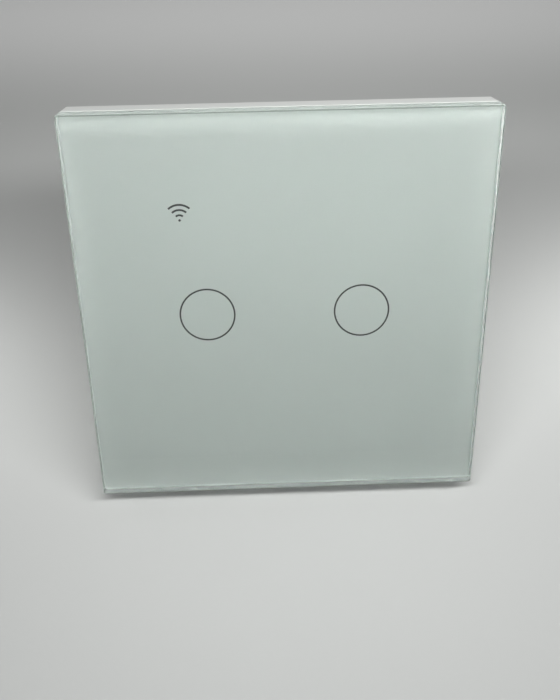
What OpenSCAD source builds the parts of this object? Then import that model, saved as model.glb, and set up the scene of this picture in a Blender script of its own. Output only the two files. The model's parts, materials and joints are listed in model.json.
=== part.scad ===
// Two-gang touch light switch: a glass panel on a clip-on carrier, over a wall plate with a relay box behind.
// Sizes are in millimetres. X is right, Z is up, and the wall is the plane Y = 0 with the room at negative Y.
// The modules draw the switch face on (X right, Y up, Z out of the wall), and on_wall() stands it up.

/* [Glass panel] */
// Side of the square panel
panel_w = 86; // [84:1:90]
// Thickness of the glass
glass_t = 4; // [3:0.5:6]
// Width of the bevel along the edges of the glass
glass_bevel = 0.45; // [0.2:0.05:0.55]
// Corner radius of the panel
corner_r = 0.6; // [0.6:0.1:2]
// Thickness of the printed coat behind the glass
coat_t = 0.1; // [0.1:0.05:0.3]
// Thickness of the bonding tape
tape_t = 0.5; // [0.3:0.1:1]
// Width of the bonding tape
tape_w = 8; // [5:0.5:10]
// Width of the carrier's lip outside the tape
tape_edge = 1.5; // [1:0.5:3]

/* [Printed marks] */
// Diameter of a ring mark, at the middle of its line
ring_d = 11.6; // [9:0.2:12]
// Width of a ring mark's line
ring_line = 0.35; // [0.25:0.05:0.8]
// Distance between the centres of the two ring marks
ring_pitch = 33; // [28:0.2:33.4]
// Height of the ring marks above the middle of the panel
ring_rise = 0.4; // [0:0.2:4]
// Distance of the signal mark's dot from the middle, to the left
signal_x = 21; // [14:0.1:21.2]
// Height of the signal mark's dot above the middle
signal_y = 21.3; // [18:0.1:22.4]
// Diameter of the signal mark's dot
signal_dot_d = 0.42; // [0.3:0.02:0.6]
// Step in radius from the dot to each arc of the signal mark
signal_arc_step = 1.07; // [0.8:0.01:1.1]
// Width of a signal arc's line
signal_line = 0.32; // [0.2:0.02:0.5]
// Half of the angle that a signal arc covers
signal_half_angle = 42; // [30:1:50]

/* [Carrier] */
// Height of the carrier, from the wall to the glass
carrier_h = 6.2; // [5.7:0.1:8.5]
// Thickness of the carrier's front wall behind the tape
carrier_front_t = 1.4; // [1:0.1:1.8]
// Thickness of the carrier's skirt
skirt_t = 1.8; // [1.2:0.1:2.5]
// Width of the notch for prying the panel off
pry_w = 10; // [6:1:16]
// Height of the pry notch
pry_h = 1.8; // [1:0.2:2.6]
// Width of a snap hook
hook_w = 8; // [5:0.5:10]
// Thickness of a snap hook's arm
hook_t = 1.2; // [0.8:0.1:1.6]
// Reach of a hook's barb under its catch
hook_barb = 0.9; // [0.5:0.1:1.2]
// Distance between the two hooks on one side
hook_pitch = 44; // [30:1:56]

/* [Wall plate] */
// Corner radius of the wall plate and its deck
plate_corner_r = 1.2; // [0.8:0.1:2]
// Thickness of the wall plate
plate_t = 2; // [1.8:0.1:3]
// Distance between the two fixing screws
fixing_pitch = 60.3; // [60:0.1:62]
// Width of a fixing slot
fixing_slot_w = 4.2; // [3.8:0.1:4.6]
// Length of a fixing slot
fixing_slot_l = 6.5; // [5:0.1:7]
// Width of the recess for a fixing screw's head
fixing_head_d = 7.2; // [6.5:0.1:7.5]
// Depth of the recess for a fixing screw's head
fixing_head_depth = 0.6; // [0.3:0.1:1]
// Room between the deck's side walls and the light guides inside
deck_side_room = 0.2; // [0.1:0.1:1]
// Room between the deck's top wall and the signal mark's light pipe
deck_end_room = 2.3; // [0.6:0.1:3]
// Thickness of the deck's side walls
deck_wall = 1.4; // [1:0.1:1.5]
// Thickness of the deck's front wall
deck_t = 1.5; // [1:0.1:1.6]
// Thickness of the rim around the wall plate
rim_t = 1.2; // [0.8:0.1:1.6]

/* [Rear box] */
// Width of the rear box
box_w = 45.6; // [44:0.2:47]
// Height of the rear box
box_h = 54; // [53:0.5:56]
// Thickness of the rear box's walls
box_wall = 1.6; // [1.2:0.1:1.8]
// Corner radius of the rear box
box_corner_r = 3; // [2.5:0.5:4]
// Thickness of the rear box's flange
flange_t = 1.8; // [1.4:0.1:2.4]
// Depth of the wall plate's pockets for the ends of the flange
flange_pocket = 0.3; // [0.2:0.1:0.6]
// Width of the flange's edge beyond the box screws
flange_edge = 2.8; // [2.4:0.1:3.2]
// Side of the posts that carry the power board
post_w = 2.8; // [2:0.1:3]
// Width of a vent slot
vent_w = 1.4; // [1:0.1:1.8]
// Length of a vent slot
vent_l = 16; // [10:1:20]
// Width of the bare label field on the rear box
label_w = 32; // [20:1:36]
// Height of the label field
label_h = 18; // [10:1:22]
// Depth of the label field
label_depth = 0.3; // [0.2:0.1:0.6]
// Number of vent slots on each side
vent_count = 5; // [3:1:6]
// Distance from one vent slot to the next
vent_pitch = 2.6; // [2.2:0.1:2.8]
// Distance between the box screws, across
box_screw_pitch_x = 38; // [34:0.5:39]
// Gap between a box screw's head and the wall of the rear box
box_screw_gap = 2.3; // [1.5:0.1:3]
// Thread diameter of a box screw
box_screw_d = 2.5; // [2:0.1:2.6]
// Length of a box screw under its head
box_screw_l = 5; // [4:0.2:5.4]
// Head diameter of a box screw
box_screw_head_d = 4.4; // [4:0.1:4.8]
// Head height of a box screw
box_screw_head_h = 1.5; // [1.2:0.1:1.8]

/* [Boards and lights] */
// Thickness of the circuit boards
board_t = 1.6; // [1:0.2:1.6]
// Gap between the touch board and the power board
board_gap = 5; // [4.6:0.2:8]
// Wire diameter of a touch spring
spring_wire_d = 0.5; // [0.4:0.05:0.5]
// Mean diameter of a touch spring
spring_d = 6.4; // [4:0.2:7]
// Curls of a touch spring
spring_turns = 2.5; // [1.5:0.5:2.5]
// Wall of a ring light guide
guide_wall = 1.4; // [1:0.1:1.6]
// Diameter of the signal mark's light pipe
pipe_d = 5; // [5:0.1:5.2]
// Height of an indicator light
light_h = 1; // [0.6:0.1:1.2]

/* [Terminals] */
// Distance from one terminal to the next
terminal_pitch = 9; // [8.6:0.1:9.2]
// Diameter of a wire entry
wire_d = 3.2; // [2.6:0.1:3.4]
// Clamping gap of an open terminal
wire_gap = 3.2; // [3.2:0.1:3.6]
// Travel of a clamp cage
clamp_travel = 2.5; // [1.5:0.1:2.6]
// Thread diameter of a terminal screw
terminal_screw_d = 3; // [2.5:0.1:3.5]
// Head diameter of a terminal screw
terminal_head_d = 5; // [4.6:0.1:5.4]
// Head height of a terminal screw
terminal_head_h = 1.7; // [1.4:0.1:2]
// Width of a clamp cage
cage_w = 6.2; // [5.8:0.1:6.6]
// Length of a clamp cage along the wire
cage_l = 7.2; // [6:0.1:7.4]
// Thickness of a clamp cage's thin walls
cage_wall = 0.8; // [0.6:0.05:0.9]
// Thickness of a clamp cage's threaded wall
cage_nut_t = 1.6; // [1.2:0.1:2]
// Thickness of a terminal bar
bar_t = 0.8; // [0.6:0.05:1]

/* [Relays] */
// Width of a relay
relay_w = 10.2; // [9.6:0.1:10.4]
// Length of a relay
relay_l = 18.6; // [18:0.1:18.8]
// Wall of a relay's case
relay_wall = 0.7; // [0.5:0.05:0.8]
// Diameter of a relay coil
coil_d = 7.2; // [6:0.1:7.4]
// Height of a relay coil
coil_h = 7.6; // [6:0.1:8.4]
// Gap between the open contacts of a relay
contact_gap = 0.8; // [0.6:0.05:0.9]

/* [Hidden] */
$fn = 64;
left = -1;
right = 1;
sides = [left, right];
terminal_count = 4;

// Clearances
fit = 0.15;
running = 0.05;
skirt_gap = 0.9;
deck_gap = 0.8;
deck_setback = 1.2;
hook_flex = 1.1;
hook_play = 0.2;
hook_side_gap = 0.3;
carrier_gap = 0.3;
light_gap = 0.1;
light_room = 0.2;
board_edge_gap = 0.3;
over = 1;

// Heights in front of the wall
carrier_face = carrier_h - tape_t;
carrier_back = carrier_face - carrier_front_t;
coat_back = carrier_h;
glass_back = coat_back + coat_t;
deck_top = coat_back - deck_setback;
deck_under = deck_top - deck_t;
guide_front = coat_back - light_gap;
lights_front = board_t + light_h + light_room;

// Lights and marks
ring_x = ring_pitch / 2;
guide_outer_d = ring_d + guide_wall;
guide_inner_d = ring_d - guide_wall;
guide_shoulder = 0.6;
guide_shoulder_d = guide_outer_d + 2 * guide_shoulder;
signal_middle_y = signal_y + 1.4 * signal_arc_step;
light_l = 1.6;
light_w = 0.8;

// Wall plate
deck_w = 2 * (max(ring_x + guide_shoulder_d / 2, signal_x + pipe_d / 2) + deck_side_room + deck_wall);
deck_h = 2 * (signal_middle_y + pipe_d / 2 + deck_end_room + deck_wall);
deck_inner_w = deck_w - 2 * deck_wall;
deck_inner_h = deck_h - 2 * deck_wall;
plate_w = panel_w - 2 * skirt_t - 2 * skirt_gap;
skirt_inner = panel_w / 2 - skirt_t;
rim_h = carrier_back - 0.5;
boss_d = 5.2;
boss_h = carrier_back - carrier_gap;
tape_bed_w = panel_w - 2 * tape_edge;
window_w = deck_w + 2 * deck_gap;
window_h = deck_h + 2 * deck_gap;

// Snap hooks and their catches
hook_outer = skirt_inner - hook_flex;
hook_inner = hook_outer - hook_t;
hook_tip = 0.3;
catch_t = 0.8;
catch_under = plate_t - catch_t;
barb_front = catch_under - hook_play;
barb_inner = hook_inner - hook_barb;

// Rear box
box_screw_pitch_y = box_h + box_screw_head_d + 2 * box_screw_gap;
flange_h = box_screw_pitch_y + 2 * flange_edge;

// Boards
chip_w = 10;
chip_h = 4;
chip_t = 1.5;
touch_board_w = deck_inner_w - 2 * board_edge_gap;
touch_board_h = deck_inner_h - 2 * board_edge_gap;
box_inner_w = box_w - 2 * box_wall;
box_inner_h = box_h - 2 * box_wall;
power_board_w = box_inner_w - 2 * board_edge_gap;
power_board_h = box_inner_h - 2 * board_edge_gap;
power_back = -board_gap - board_t;
pin_tail = 0.8;
pin_below = board_t + pin_tail;
header_pins_count = 6;
header_pitch = 2.54;
header_w = 2.5;
header_l = header_pins_count * header_pitch;
header_pin_d = 0.64;
header_edge = 0.1;
header_y = min(power_board_h, touch_board_h) / 2 - header_w / 2 - header_edge;

// Terminals, as heights behind the power board and places along the wire
terminal_wall = 1.8;
terminal_side = 1.4;
terminal_end = 1.4;
terminal_lip_d = terminal_head_d - 0.6;
cage_stand = 3.6;
cage_room = 1.6;
tip_gap = 0.05;
bar_w = cage_w - 2 * cage_wall - 0.6;
leg_w = 2.2;
bar_low = cage_stand + cage_wall + wire_gap;
nut_low = bar_low + bar_t + cage_room;
cage_high = nut_low + cage_nut_t;
head_low = cage_high + clamp_travel + 0.9;
lip_low = head_low + terminal_head_h + 0.1;
terminal_h = lip_low + terminal_wall;
wire_h = cage_stand + cage_wall + wire_gap / 2;
chamber_w = cage_w + 0.4;
terminal_w = (terminal_count - 1) * terminal_pitch + chamber_w + 2 * terminal_side;
terminal_bottom = -box_h / 2;
chamber_bottom = terminal_bottom + terminal_wall;
cage_bottom = chamber_bottom + 0.2;
cage_top = cage_bottom + cage_l;
cage_middle = (cage_bottom + cage_top) / 2;
leg_bottom = cage_top + 0.4;
leg_top = leg_bottom + bar_t;
chamber_top = leg_top + 0.2;
terminal_top = chamber_top + terminal_end;
terminal_recess = 0.4;
box_depth = board_gap + board_t + terminal_h + terminal_recess;

// Relays, as heights behind the power board
relay_gap = 0.5;
relay_end_gap = 1.2;
relay_x = relay_w / 2 + relay_gap;
relay_y = terminal_top + relay_end_gap + relay_l / 2;
relay_base_t = 1.6;
relay_inner_w = relay_w - 2 * relay_wall;
relay_inner_l = relay_l - 2 * relay_wall;
relay_pin_d = 1;
yoke_t = 1.2;
yoke_gap = 0.9;
yoke_end_gap = 1;
yoke_w = relay_inner_w - 2 * yoke_gap;
yoke_end = -relay_inner_l / 2 + yoke_end_gap;
coil_y = yoke_end + yoke_t + 0.4 + coil_d / 2;
core_d = 2.6;
coil_low = relay_base_t + yoke_t;
pole_h = coil_low + coil_h + 0.5;
yoke_h = pole_h + 0.3;
pivot_r = 0.25;
pivot_y = yoke_end + yoke_t / 2;
pivot_h = yoke_h + pivot_r + 0.02;
armature_low = yoke_h + 0.3;
armature_t = 1;
armature_high = armature_low + armature_t;
armature_end = coil_y + coil_d / 2 + 0.4;
leaf_t = 0.2;
leaf_lap = 3;
contact_inset = 2.6;
contact_y = relay_inner_l / 2 - contact_inset;
contact_d = 2;
moving_contact_t = 0.8;
fixed_contact_t = 0.5;
fixed_contact_h = armature_high - moving_contact_t - contact_gap;
fixed_arm_t = 0.8;
relay_case_h = armature_high + leaf_t + 1 + relay_wall - relay_base_t;

// Other pieces on the power board
part_gap = 0.8;
parts_edge_x = power_board_w / 2 - part_gap;
relay_top = relay_y + relay_l / 2;
film_w = 6;
film_l = 13;
film_h = 12;
disc_d = 8;
disc_t = 4;
disc_flat = 0.2;
core_l = 14;
core_w = 4;
core_h = 10.8;
core_leg = 1.6;
core_bar = 2;
core_middle = 4;
bobbin_base_t = 0.5;
bobbin_l = 12;
transformer_y = relay_top + part_gap + bobbin_l / 2;
can_foot = 1;
can_groove = 0.4;
bulk_d = 10;
bulk_h = 15;
output_d = 7;
output_h = 11.5;
fuse_d = 3.6;
fuse_h = 9;
rectifier_w = 5;
rectifier_l = 6.5;
rectifier_h = 2.6;
supply_w = 5;
supply_l = 9;
supply_h = 3.4;

// Frames of reference

module on_wall() {
    rotate([90, 0, 0])
        children();
}

// Stands a piece on the rear face of the power board, with its height towards the rear
module behind_board(x = 0, y = 0) {
    on_wall()
        translate([x, y, power_back])
            mirror([0, 0, 1])
                children();
}

// Shared shapes

// Block centred on X and Y, standing on Z = 0
module block(w, h, t) {
    translate([-w / 2, -h / 2, 0])
        cube([w, h, t]);
}

// Block between two heights along Y
module span(w, y0, y1, t) {
    translate([-w / 2, y0, 0])
        cube([w, y1 - y0, t]);
}

// Plate with rounded corners, standing on Z = 0
module slab(w, h, t, r) {
    block(w - 2 * r, h, t);
    block(w, h - 2 * r, t);
    for (x = sides, y = sides)
        translate([x * (w / 2 - r), y * (h / 2 - r), 0])
            cylinder(r = r, h = t);
}

// Half outline of an edge with a bevel at both faces
function bevelled_edge(r, t, b) = [[0, 0], [r - b, 0], [r, b], [r, t - b], [r - b, t], [0, t]];

module bevelled_bar(l, w, t, b) {
    edge = bevelled_edge(w / 2, t, b);
    linear_extrude(height = l, center = true)
        polygon(concat(edge, [for (p = [for (i = [4:-1:1]) edge[i]]) [-p[0], p[1]]]));
}

// Square plate with rounded corners and bevelled edges, standing on Z = 0
module bevelled_slab(w, t, r, b) {
    rotate([90, 0, 90])
        bevelled_bar(w - 2 * r, w, t, b);
    rotate([90, 0, 0])
        bevelled_bar(w - 2 * r, w, t, b);
    for (x = sides, y = sides)
        translate([x * (w / 2 - r), y * (w / 2 - r), 0])
            rotate_extrude()
                polygon(bevelled_edge(r, t, b));
}

// Slot along X with round ends
module slot(l, d, t) {
    block(l - d, d, t);
    for (x = sides)
        translate([x * (l - d) / 2, 0, 0])
            cylinder(d = d, h = t);
}

// Cross recess of a screw head, cut down from Z = 0
module cross_recess(w) {
    translate([0, 0, -w / 4])
        for (turn = [0, 90])
            rotate([0, 0, turn])
                block(w, w / 5, over);
}

module at_rings() {
    for (x = sides)
        translate([x * ring_x, ring_rise, 0])
            children();
}

module at_box_screws() {
    for (x = sides, y = sides)
        translate([x * box_screw_pitch_x / 2, y * box_screw_pitch_y / 2, 0])
            children();
}

module at_fixings() {
    for (x = sides)
        translate([x * fixing_pitch / 2, 0, 0])
            children();
}

// The four hooks: drawn at the top, and mirrored to the bottom
module at_hooks() {
    for (x = sides, y = [0, 1])
        translate([x * hook_pitch / 2, 0, 0])
            mirror([0, y, 0])
                children();
}

module at_header_pins() {
    for (i = [0:header_pins_count - 1])
        translate([(i - (header_pins_count - 1) / 2) * header_pitch, header_y, 0])
            children();
}

module at_relay_pins() {
    for (x = sides, y = sides)
        translate([x * relay_inner_w * 0.36, y * relay_inner_l * 0.44, 0])
            children();
}

function terminal_x(i) = (i - (terminal_count + 1) / 2) * terminal_pitch;

// Glass panel

module line_circle(d, line) {
    difference() {
        circle(d = d + line);
        circle(d = d - line);
    }
}

module marks() {
    at_rings()
        line_circle(ring_d, ring_line);
    translate([-signal_x, signal_y]) {
        circle(d = signal_dot_d);
        reach = 6 * signal_arc_step;
        for (i = [1:3])
            intersection() {
                line_circle(2 * i * signal_arc_step, signal_line);
                polygon([
                    [0, 0],
                    [-reach * sin(signal_half_angle), reach * cos(signal_half_angle)],
                    [reach * sin(signal_half_angle), reach * cos(signal_half_angle)]
                ]);
            }
    }
}

module glass_panel() {
    color("#C9D6CF", 0.4)
        on_wall()
            translate([0, 0, glass_back])
                bevelled_slab(panel_w, glass_t, corner_r, glass_bevel);
}

module print_coat() {
    coat_w = panel_w - 2 * glass_bevel;
    color("#DDE2DB")
        on_wall()
            translate([0, 0, coat_back])
                difference() {
                    slab(coat_w, coat_w, coat_t, corner_r - glass_bevel);
                    translate([0, 0, -over])
                        linear_extrude(height = coat_t + 2 * over)
                            marks();
                }
}

module mark_ink() {
    color("#4A524E")
        on_wall()
            translate([0, 0, coat_back])
                linear_extrude(height = coat_t)
                    marks();
}

module bonding_tape() {
    tape_outer = tape_bed_w - 2 * fit;
    tape_inner = tape_outer - 2 * tape_w;
    color("#8C8F8C")
        on_wall()
            translate([0, 0, carrier_face])
                difference() {
                    block(tape_outer, tape_outer, tape_t);
                    translate([0, 0, -over])
                        block(tape_inner, tape_inner, tape_t + 2 * over);
                }
}

// Carrier

module panel_carrier() {
    inner_w = 2 * skirt_inner;
    color("#F1F1EE")
        on_wall()
            difference() {
                slab(panel_w, panel_w, carrier_h, corner_r);
                translate([0, 0, -over])
                    block(inner_w, inner_w, carrier_back + over);
                block(window_w, window_h, carrier_h + over);
                translate([0, 0, carrier_face])
                    block(tape_bed_w, tape_bed_w, tape_t + over);
                translate([0, -panel_w / 2, -over])
                    block(pry_w, 2 * skirt_t + over, pry_h + over);
            }
}

module snap_hooks() {
    color("#F1F1EE")
        on_wall()
            at_hooks()
                rotate([90, 0, 90])
                    linear_extrude(height = hook_w, center = true)
                        polygon([
                            [hook_inner, carrier_back],
                            [hook_outer, carrier_back],
                            [hook_outer, hook_tip],
                            [hook_inner, hook_tip],
                            [barb_inner, (hook_tip + barb_front) / 2],
                            [barb_inner, barb_front],
                            [hook_inner, barb_front]
                        ]);
}

// Wall plate

// Ends of the rear box's flange, which sit in pockets of the wall plate
module flange_ends(extra, inner_h) {
    difference() {
        translate([0, 0, -flange_t / 2])
            slab(box_w + 2 * extra, flange_h + 2 * extra, flange_t / 2 + flange_pocket, box_corner_r);
        translate([0, 0, -flange_t])
            block(box_w + over, inner_h, flange_t + flange_pocket + over);
    }
}

module hook_catches() {
    gate_w = hook_w + 2 * hook_side_gap;
    at_hooks() {
        translate([0, 0, -over])
            span(gate_w, hook_inner - fit, plate_w, rim_h + 2 * over);
        translate([0, 0, -over])
            span(gate_w, barb_inner - fit, hook_outer, catch_under + over);
    }
}

module wall_plate() {
    color("#ECECE8")
        on_wall()
            difference() {
                union() {
                    difference() {
                        slab(plate_w, plate_w, rim_h, plate_corner_r);
                        translate([0, 0, plate_t])
                            block(plate_w - 2 * rim_t, plate_w - 2 * rim_t, rim_h);
                    }
                    slab(deck_w, deck_h, deck_top, plate_corner_r);
                    at_box_screws()
                        cylinder(d = boss_d, h = boss_h);
                }
                translate([0, 0, -over])
                    block(deck_inner_w, deck_inner_h, deck_under + over);
                flange_ends(fit, deck_inner_h - 2 * fit);
                at_rings()
                    cylinder(d = guide_outer_d + 2 * fit, h = deck_top + over);
                translate([-signal_x, signal_middle_y, 0])
                    cylinder(d = pipe_d + 2 * fit, h = deck_top + over);
                at_box_screws()
                    translate([0, 0, -over])
                        cylinder(d = box_screw_d + 2 * running, h = over + box_screw_l - flange_t + fit);
                at_fixings() {
                    translate([0, 0, -over])
                        slot(fixing_slot_l, fixing_slot_w, plate_t + 2 * over);
                    translate([0, 0, plate_t - fixing_head_depth])
                        slot(fixing_slot_l + fixing_head_d - fixing_slot_w, fixing_head_d, over);
                }
                hook_catches();
            }
}

// Rear box

module vents() {
    for (x = sides, i = [0:vent_count - 1])
        translate([x * box_w / 2, relay_y, -box_depth + 3 + i * vent_pitch])
            block(2 * box_wall + over, vent_l, vent_w);
}

module rear_box() {
    color("#E6E6E1")
        on_wall()
            difference() {
                union() {
                    difference() {
                        union() {
                            translate([0, 0, -box_depth])
                                slab(box_w, box_h, box_depth, box_corner_r);
                            translate([0, 0, -flange_t])
                                slab(box_w, flange_h, flange_t, box_corner_r);
                            flange_ends(0, deck_inner_h + 2 * fit);
                        }
                        translate([0, 0, box_wall - box_depth])
                            slab(box_inner_w, box_inner_h, box_depth, box_corner_r - box_wall);
                    }
                    for (x = sides, y = sides)
                        translate([
                            x * (box_inner_w - post_w) / 2,
                            y * (box_inner_h - post_w) / 2,
                            box_wall / 2 - box_depth
                        ])
                            block(post_w, post_w, box_depth - box_wall / 2 + power_back);
                }
                translate([0, 0, -box_depth - over])
                    span(
                        terminal_w + 2 * fit,
                        terminal_bottom - over,
                        terminal_top + fit,
                        box_depth + over + power_back + fit
                    );
                vents();
                translate([0, box_h / 4 - label_h / 4, -box_depth - over])
                    block(label_w, label_h, over + label_depth);
                at_box_screws()
                    translate([0, 0, -flange_t - over])
                        cylinder(d = box_screw_d + 2 * fit, h = flange_t + 2 * over);
            }
}

module box_screws() {
    color("#C4C6C8")
        on_wall()
            at_box_screws()
                translate([0, 0, -flange_t])
                    difference() {
                        union() {
                            cylinder(d = box_screw_d, h = box_screw_l);
                            translate([0, 0, -box_screw_head_h])
                                cylinder(d = box_screw_head_d, h = box_screw_head_h);
                        }
                        translate([0, 0, -box_screw_head_h])
                            mirror([0, 0, 1])
                                cross_recess(box_screw_head_d * 0.6);
                    }
}

// Touch board

module touch_board() {
    color("#2F6B45")
        on_wall()
            difference() {
                block(touch_board_w, touch_board_h, board_t);
                at_header_pins()
                    translate([0, 0, -over])
                        cylinder(d = header_pin_d + 2 * fit, h = board_t + 2 * over);
            }
}

// Path of a touch spring as pairs of angle and height: straight feet, round bends and a helix between them

spring_low = board_t;
spring_high = coat_back - light_gap;
bend_r = spring_wire_d;
bend_angle = bend_r / (spring_d / 2) * 180 / PI;
helix_low = spring_low + spring_wire_d + bend_r;
helix_high = spring_high - spring_wire_d - bend_r;
rings_per_curl = 8;
helix_rings = ceil(spring_turns * rings_per_curl);
bend_rings = 3;
wire_sides = 6;
half_turn = 180;

foot_path = [
    [0, spring_low, 0],
    for (i = [0:bend_rings - 1])
        let (a = 90 * i / bend_rings)
            [bend_angle * (1 - cos(a)), spring_low + spring_wire_d + bend_r * sin(a), a]
];
helix_path = [
    for (i = [0:helix_rings])
        [bend_angle + 360 * spring_turns * i / helix_rings,
            helix_low + (helix_high - helix_low) * i / helix_rings, 90]
];
end_angle = 2 * bend_angle + 360 * spring_turns;
head_path = [
    for (i = [len(foot_path) - 1:-1:0])
        [end_angle - foot_path[i][0], spring_low + spring_high - foot_path[i][1], foot_path[i][2]]
];
spring_path = concat(foot_path, helix_path, head_path);

function spring_point(s) = [spring_d / 2 * cos(s[0]), spring_d / 2 * sin(s[0]), s[1]];
function spring_ring(s) = [
    for (k = [0:wire_sides - 1])
        let (
            a = 360 * k / wire_sides,
            out = spring_wire_d / 2 * cos(a),
            across = spring_wire_d / 2 * sin(a),
            r = spring_d / 2 + out
        )
            [
                r * cos(s[0]) - across * cos(s[2]) * sin(s[0]),
                r * sin(s[0]) + across * cos(s[2]) * cos(s[0]),
                s[1] - across * sin(s[2])
            ]
];

spring_gap = min([
    for (i = [0:len(spring_path) - 1], j = [0:len(spring_path) - 1])
        if (spring_path[j][0] - spring_path[i][0] > half_turn)
            norm(spring_point(spring_path[j]) - spring_point(spring_path[i])) - spring_wire_d
]);
echo(least_gap_between_spring_curls = spring_gap);

module spring_coil() {
    rows = len(spring_path);
    last = (rows - 1) * wire_sides;
    points = [for (s = spring_path) each spring_ring(s)];
    faces = [
        for (k = [1:wire_sides - 2]) [0, k, k + 1],
        for (k = [1:wire_sides - 2]) [last, last + k + 1, last + k],
        for (i = [0:rows - 2], k = [0:wire_sides - 1])
            let (a = i * wire_sides + k, b = i * wire_sides + (k + 1) % wire_sides)
                each [[a, a + wire_sides, b], [b, a + wire_sides, b + wire_sides]]
    ];
    polyhedron(points, faces);
}

module touch_spring(side) {
    color("#C9A24B")
        on_wall()
            translate([side * ring_x, ring_rise, 0])
                spring_coil();
}

module light_ring(side) {
    color("#F6F7F2")
        on_wall()
            translate([side * ring_x, ring_rise, 0])
                rotate_extrude()
                    polygon([
                        [guide_inner_d / 2, lights_front],
                        [guide_outer_d / 2, lights_front],
                        [guide_outer_d / 2, board_t],
                        [guide_shoulder_d / 2, board_t],
                        [guide_shoulder_d / 2, deck_under],
                        [guide_outer_d / 2, deck_under],
                        [guide_outer_d / 2, guide_front],
                        [guide_inner_d / 2, guide_front]
                    ]);
}

module signal_light_pipe() {
    color("#F6F7F2")
        on_wall()
            translate([-signal_x, signal_middle_y, board_t])
                difference() {
                    cylinder(d = pipe_d, h = guide_front - board_t);
                    translate([0, 0, -over])
                        cylinder(d = pipe_d / 2, h = over + light_h + light_room);
                }
}

module indicator_lights() {
    color("#F3E9B5")
        on_wall()
            translate([0, 0, board_t]) {
                at_rings()
                    for (turn = [45:90:315])
                        rotate([0, 0, turn])
                            translate([ring_d / 2, 0, 0])
                                block(light_w, light_l, light_h);
                translate([-signal_x, signal_middle_y, 0])
                    block(light_l, light_w, light_h);
            }
}

module touch_chip() {
    color("#26282A")
        on_wall()
            translate([0, -0.3 * touch_board_h, board_t])
                block(chip_w, chip_h, min(chip_t, deck_under - board_t - fit));
}

module board_header() {
    color("#1E1F21")
        on_wall()
            translate([0, 0, -board_gap])
                difference() {
                    translate([0, header_y, 0])
                        block(header_l, header_w, board_gap);
                    at_header_pins()
                        translate([0, 0, -over])
                            cylinder(d = header_pin_d + 2 * running, h = board_gap + 2 * over);
                }
}

module header_pins() {
    color("#D2B45A")
        on_wall()
            at_header_pins()
                translate([0, 0, power_back - pin_tail])
                    cylinder(d = header_pin_d, h = board_gap + 2 * board_t + 2 * pin_tail);
}

// Radio module on the rear face of the touch board

radio_w = 24;
radio_h = 16;
radio_t = 0.8;
shield_w = 17;
shield_h = 14;
shield_t = 2.2;

module radio_board() {
    color("#1F4F86")
        on_wall()
            translate([0, 0, -radio_t])
                block(radio_w, radio_h, radio_t);
}

module radio_shield() {
    color("#B9BDC0")
        on_wall()
            translate([(shield_w - radio_w) / 2 + 1, 0, -radio_t - shield_t])
                slab(shield_w, shield_h, shield_t, 0.5);
}

// Power board

module terminal_leg(extra) {
    span(leg_w + 2 * extra, leg_bottom - extra, leg_top + extra, pin_below + over);
}

module power_board() {
    color("#2F6B45")
        behind_board()
            translate([0, 0, -board_t])
                difference() {
                    slab(power_board_w, power_board_h, board_t, box_corner_r - box_wall);
                    at_header_pins()
                        translate([0, 0, -over])
                            cylinder(d = header_pin_d + 2 * fit, h = board_t + 2 * over);
                    for (x = sides)
                        translate([x * relay_x, relay_y, -over])
                            at_relay_pins()
                                cylinder(d = relay_pin_d + 2 * fit, h = board_t + 2 * over);
                    for (i = [1:terminal_count])
                        translate([terminal_x(i), 0, -over])
                            terminal_leg(fit);
                }
}

module transformer_core() {
    core_window_w = (core_l - core_middle) / 2 - core_leg;
    color("#3A3B3D")
        behind_board(0, transformer_y)
            translate([0, 0, bobbin_base_t])
                difference() {
                    block(core_l, core_w, core_h);
                    for (x = sides)
                        translate([x * (core_middle + core_window_w) / 2, 0, core_bar])
                            block(core_window_w, core_w + over, core_h - 2 * core_bar);
                }
}

module transformer_coil() {
    coil_w = core_l - 2 * core_leg - 2 * fit;
    coil_low_h = bobbin_base_t + core_bar + fit;
    coil_t = core_h - 2 * core_bar - 2 * fit;
    foot_l = (bobbin_l - core_w) / 2 - fit;
    color("#D9B64A")
        behind_board(0, transformer_y) {
            difference() {
                translate([0, 0, coil_low_h])
                    block(coil_w, bobbin_l, coil_t);
                translate([0, 0, coil_low_h - over])
                    block(core_middle + 2 * fit, core_w + 2 * fit, coil_t + 2 * over);
            }
            for (y = sides)
                translate([0, y * (bobbin_l - foot_l) / 2, 0])
                    block(coil_w, foot_l, coil_low_h + coil_t / 2);
            block(coil_w, bobbin_l, bobbin_base_t);
        }
}

// Can of a capacitor: a sleeve with a groove near its foot
module can(d, h) {
    rotate_extrude()
        polygon([
            [0, 0],
            [d / 2, 0],
            [d / 2, can_foot],
            [d / 2 - can_groove, can_foot + can_groove],
            [d / 2 - can_groove, can_foot + 2 * can_groove],
            [d / 2, can_foot + 3 * can_groove],
            [d / 2, h - can_groove],
            [d / 2 - can_groove, h],
            [0, h]
        ]);
}

module bulk_capacitor() {
    color("#2B2E45")
        behind_board(parts_edge_x - bulk_d / 2, relay_top + part_gap + bulk_d / 2)
            can(bulk_d, bulk_h);
}

module output_capacitor() {
    color("#2B2E45")
        behind_board(parts_edge_x - output_d / 2, relay_top - output_d / 2)
            can(output_d, output_h);
}

module suppression_capacitor() {
    color("#D8B13A")
        behind_board(film_w / 2 - parts_edge_x, relay_y - relay_l / 2 + film_l / 2)
            block(film_w, film_l, film_h);
}

module surge_disc() {
    color("#2F5FA8")
        behind_board(disc_t / 2 - parts_edge_x, relay_y - relay_l / 2 + film_l + part_gap + disc_d / 2)
            intersection() {
                translate([0, 0, disc_d / 2])
                    rotate([0, 90, 0])
                        cylinder(d = disc_d, h = disc_t, center = true);
                translate([0, 0, disc_flat])
                    block(disc_d, disc_d, disc_d);
            }
}

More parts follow.
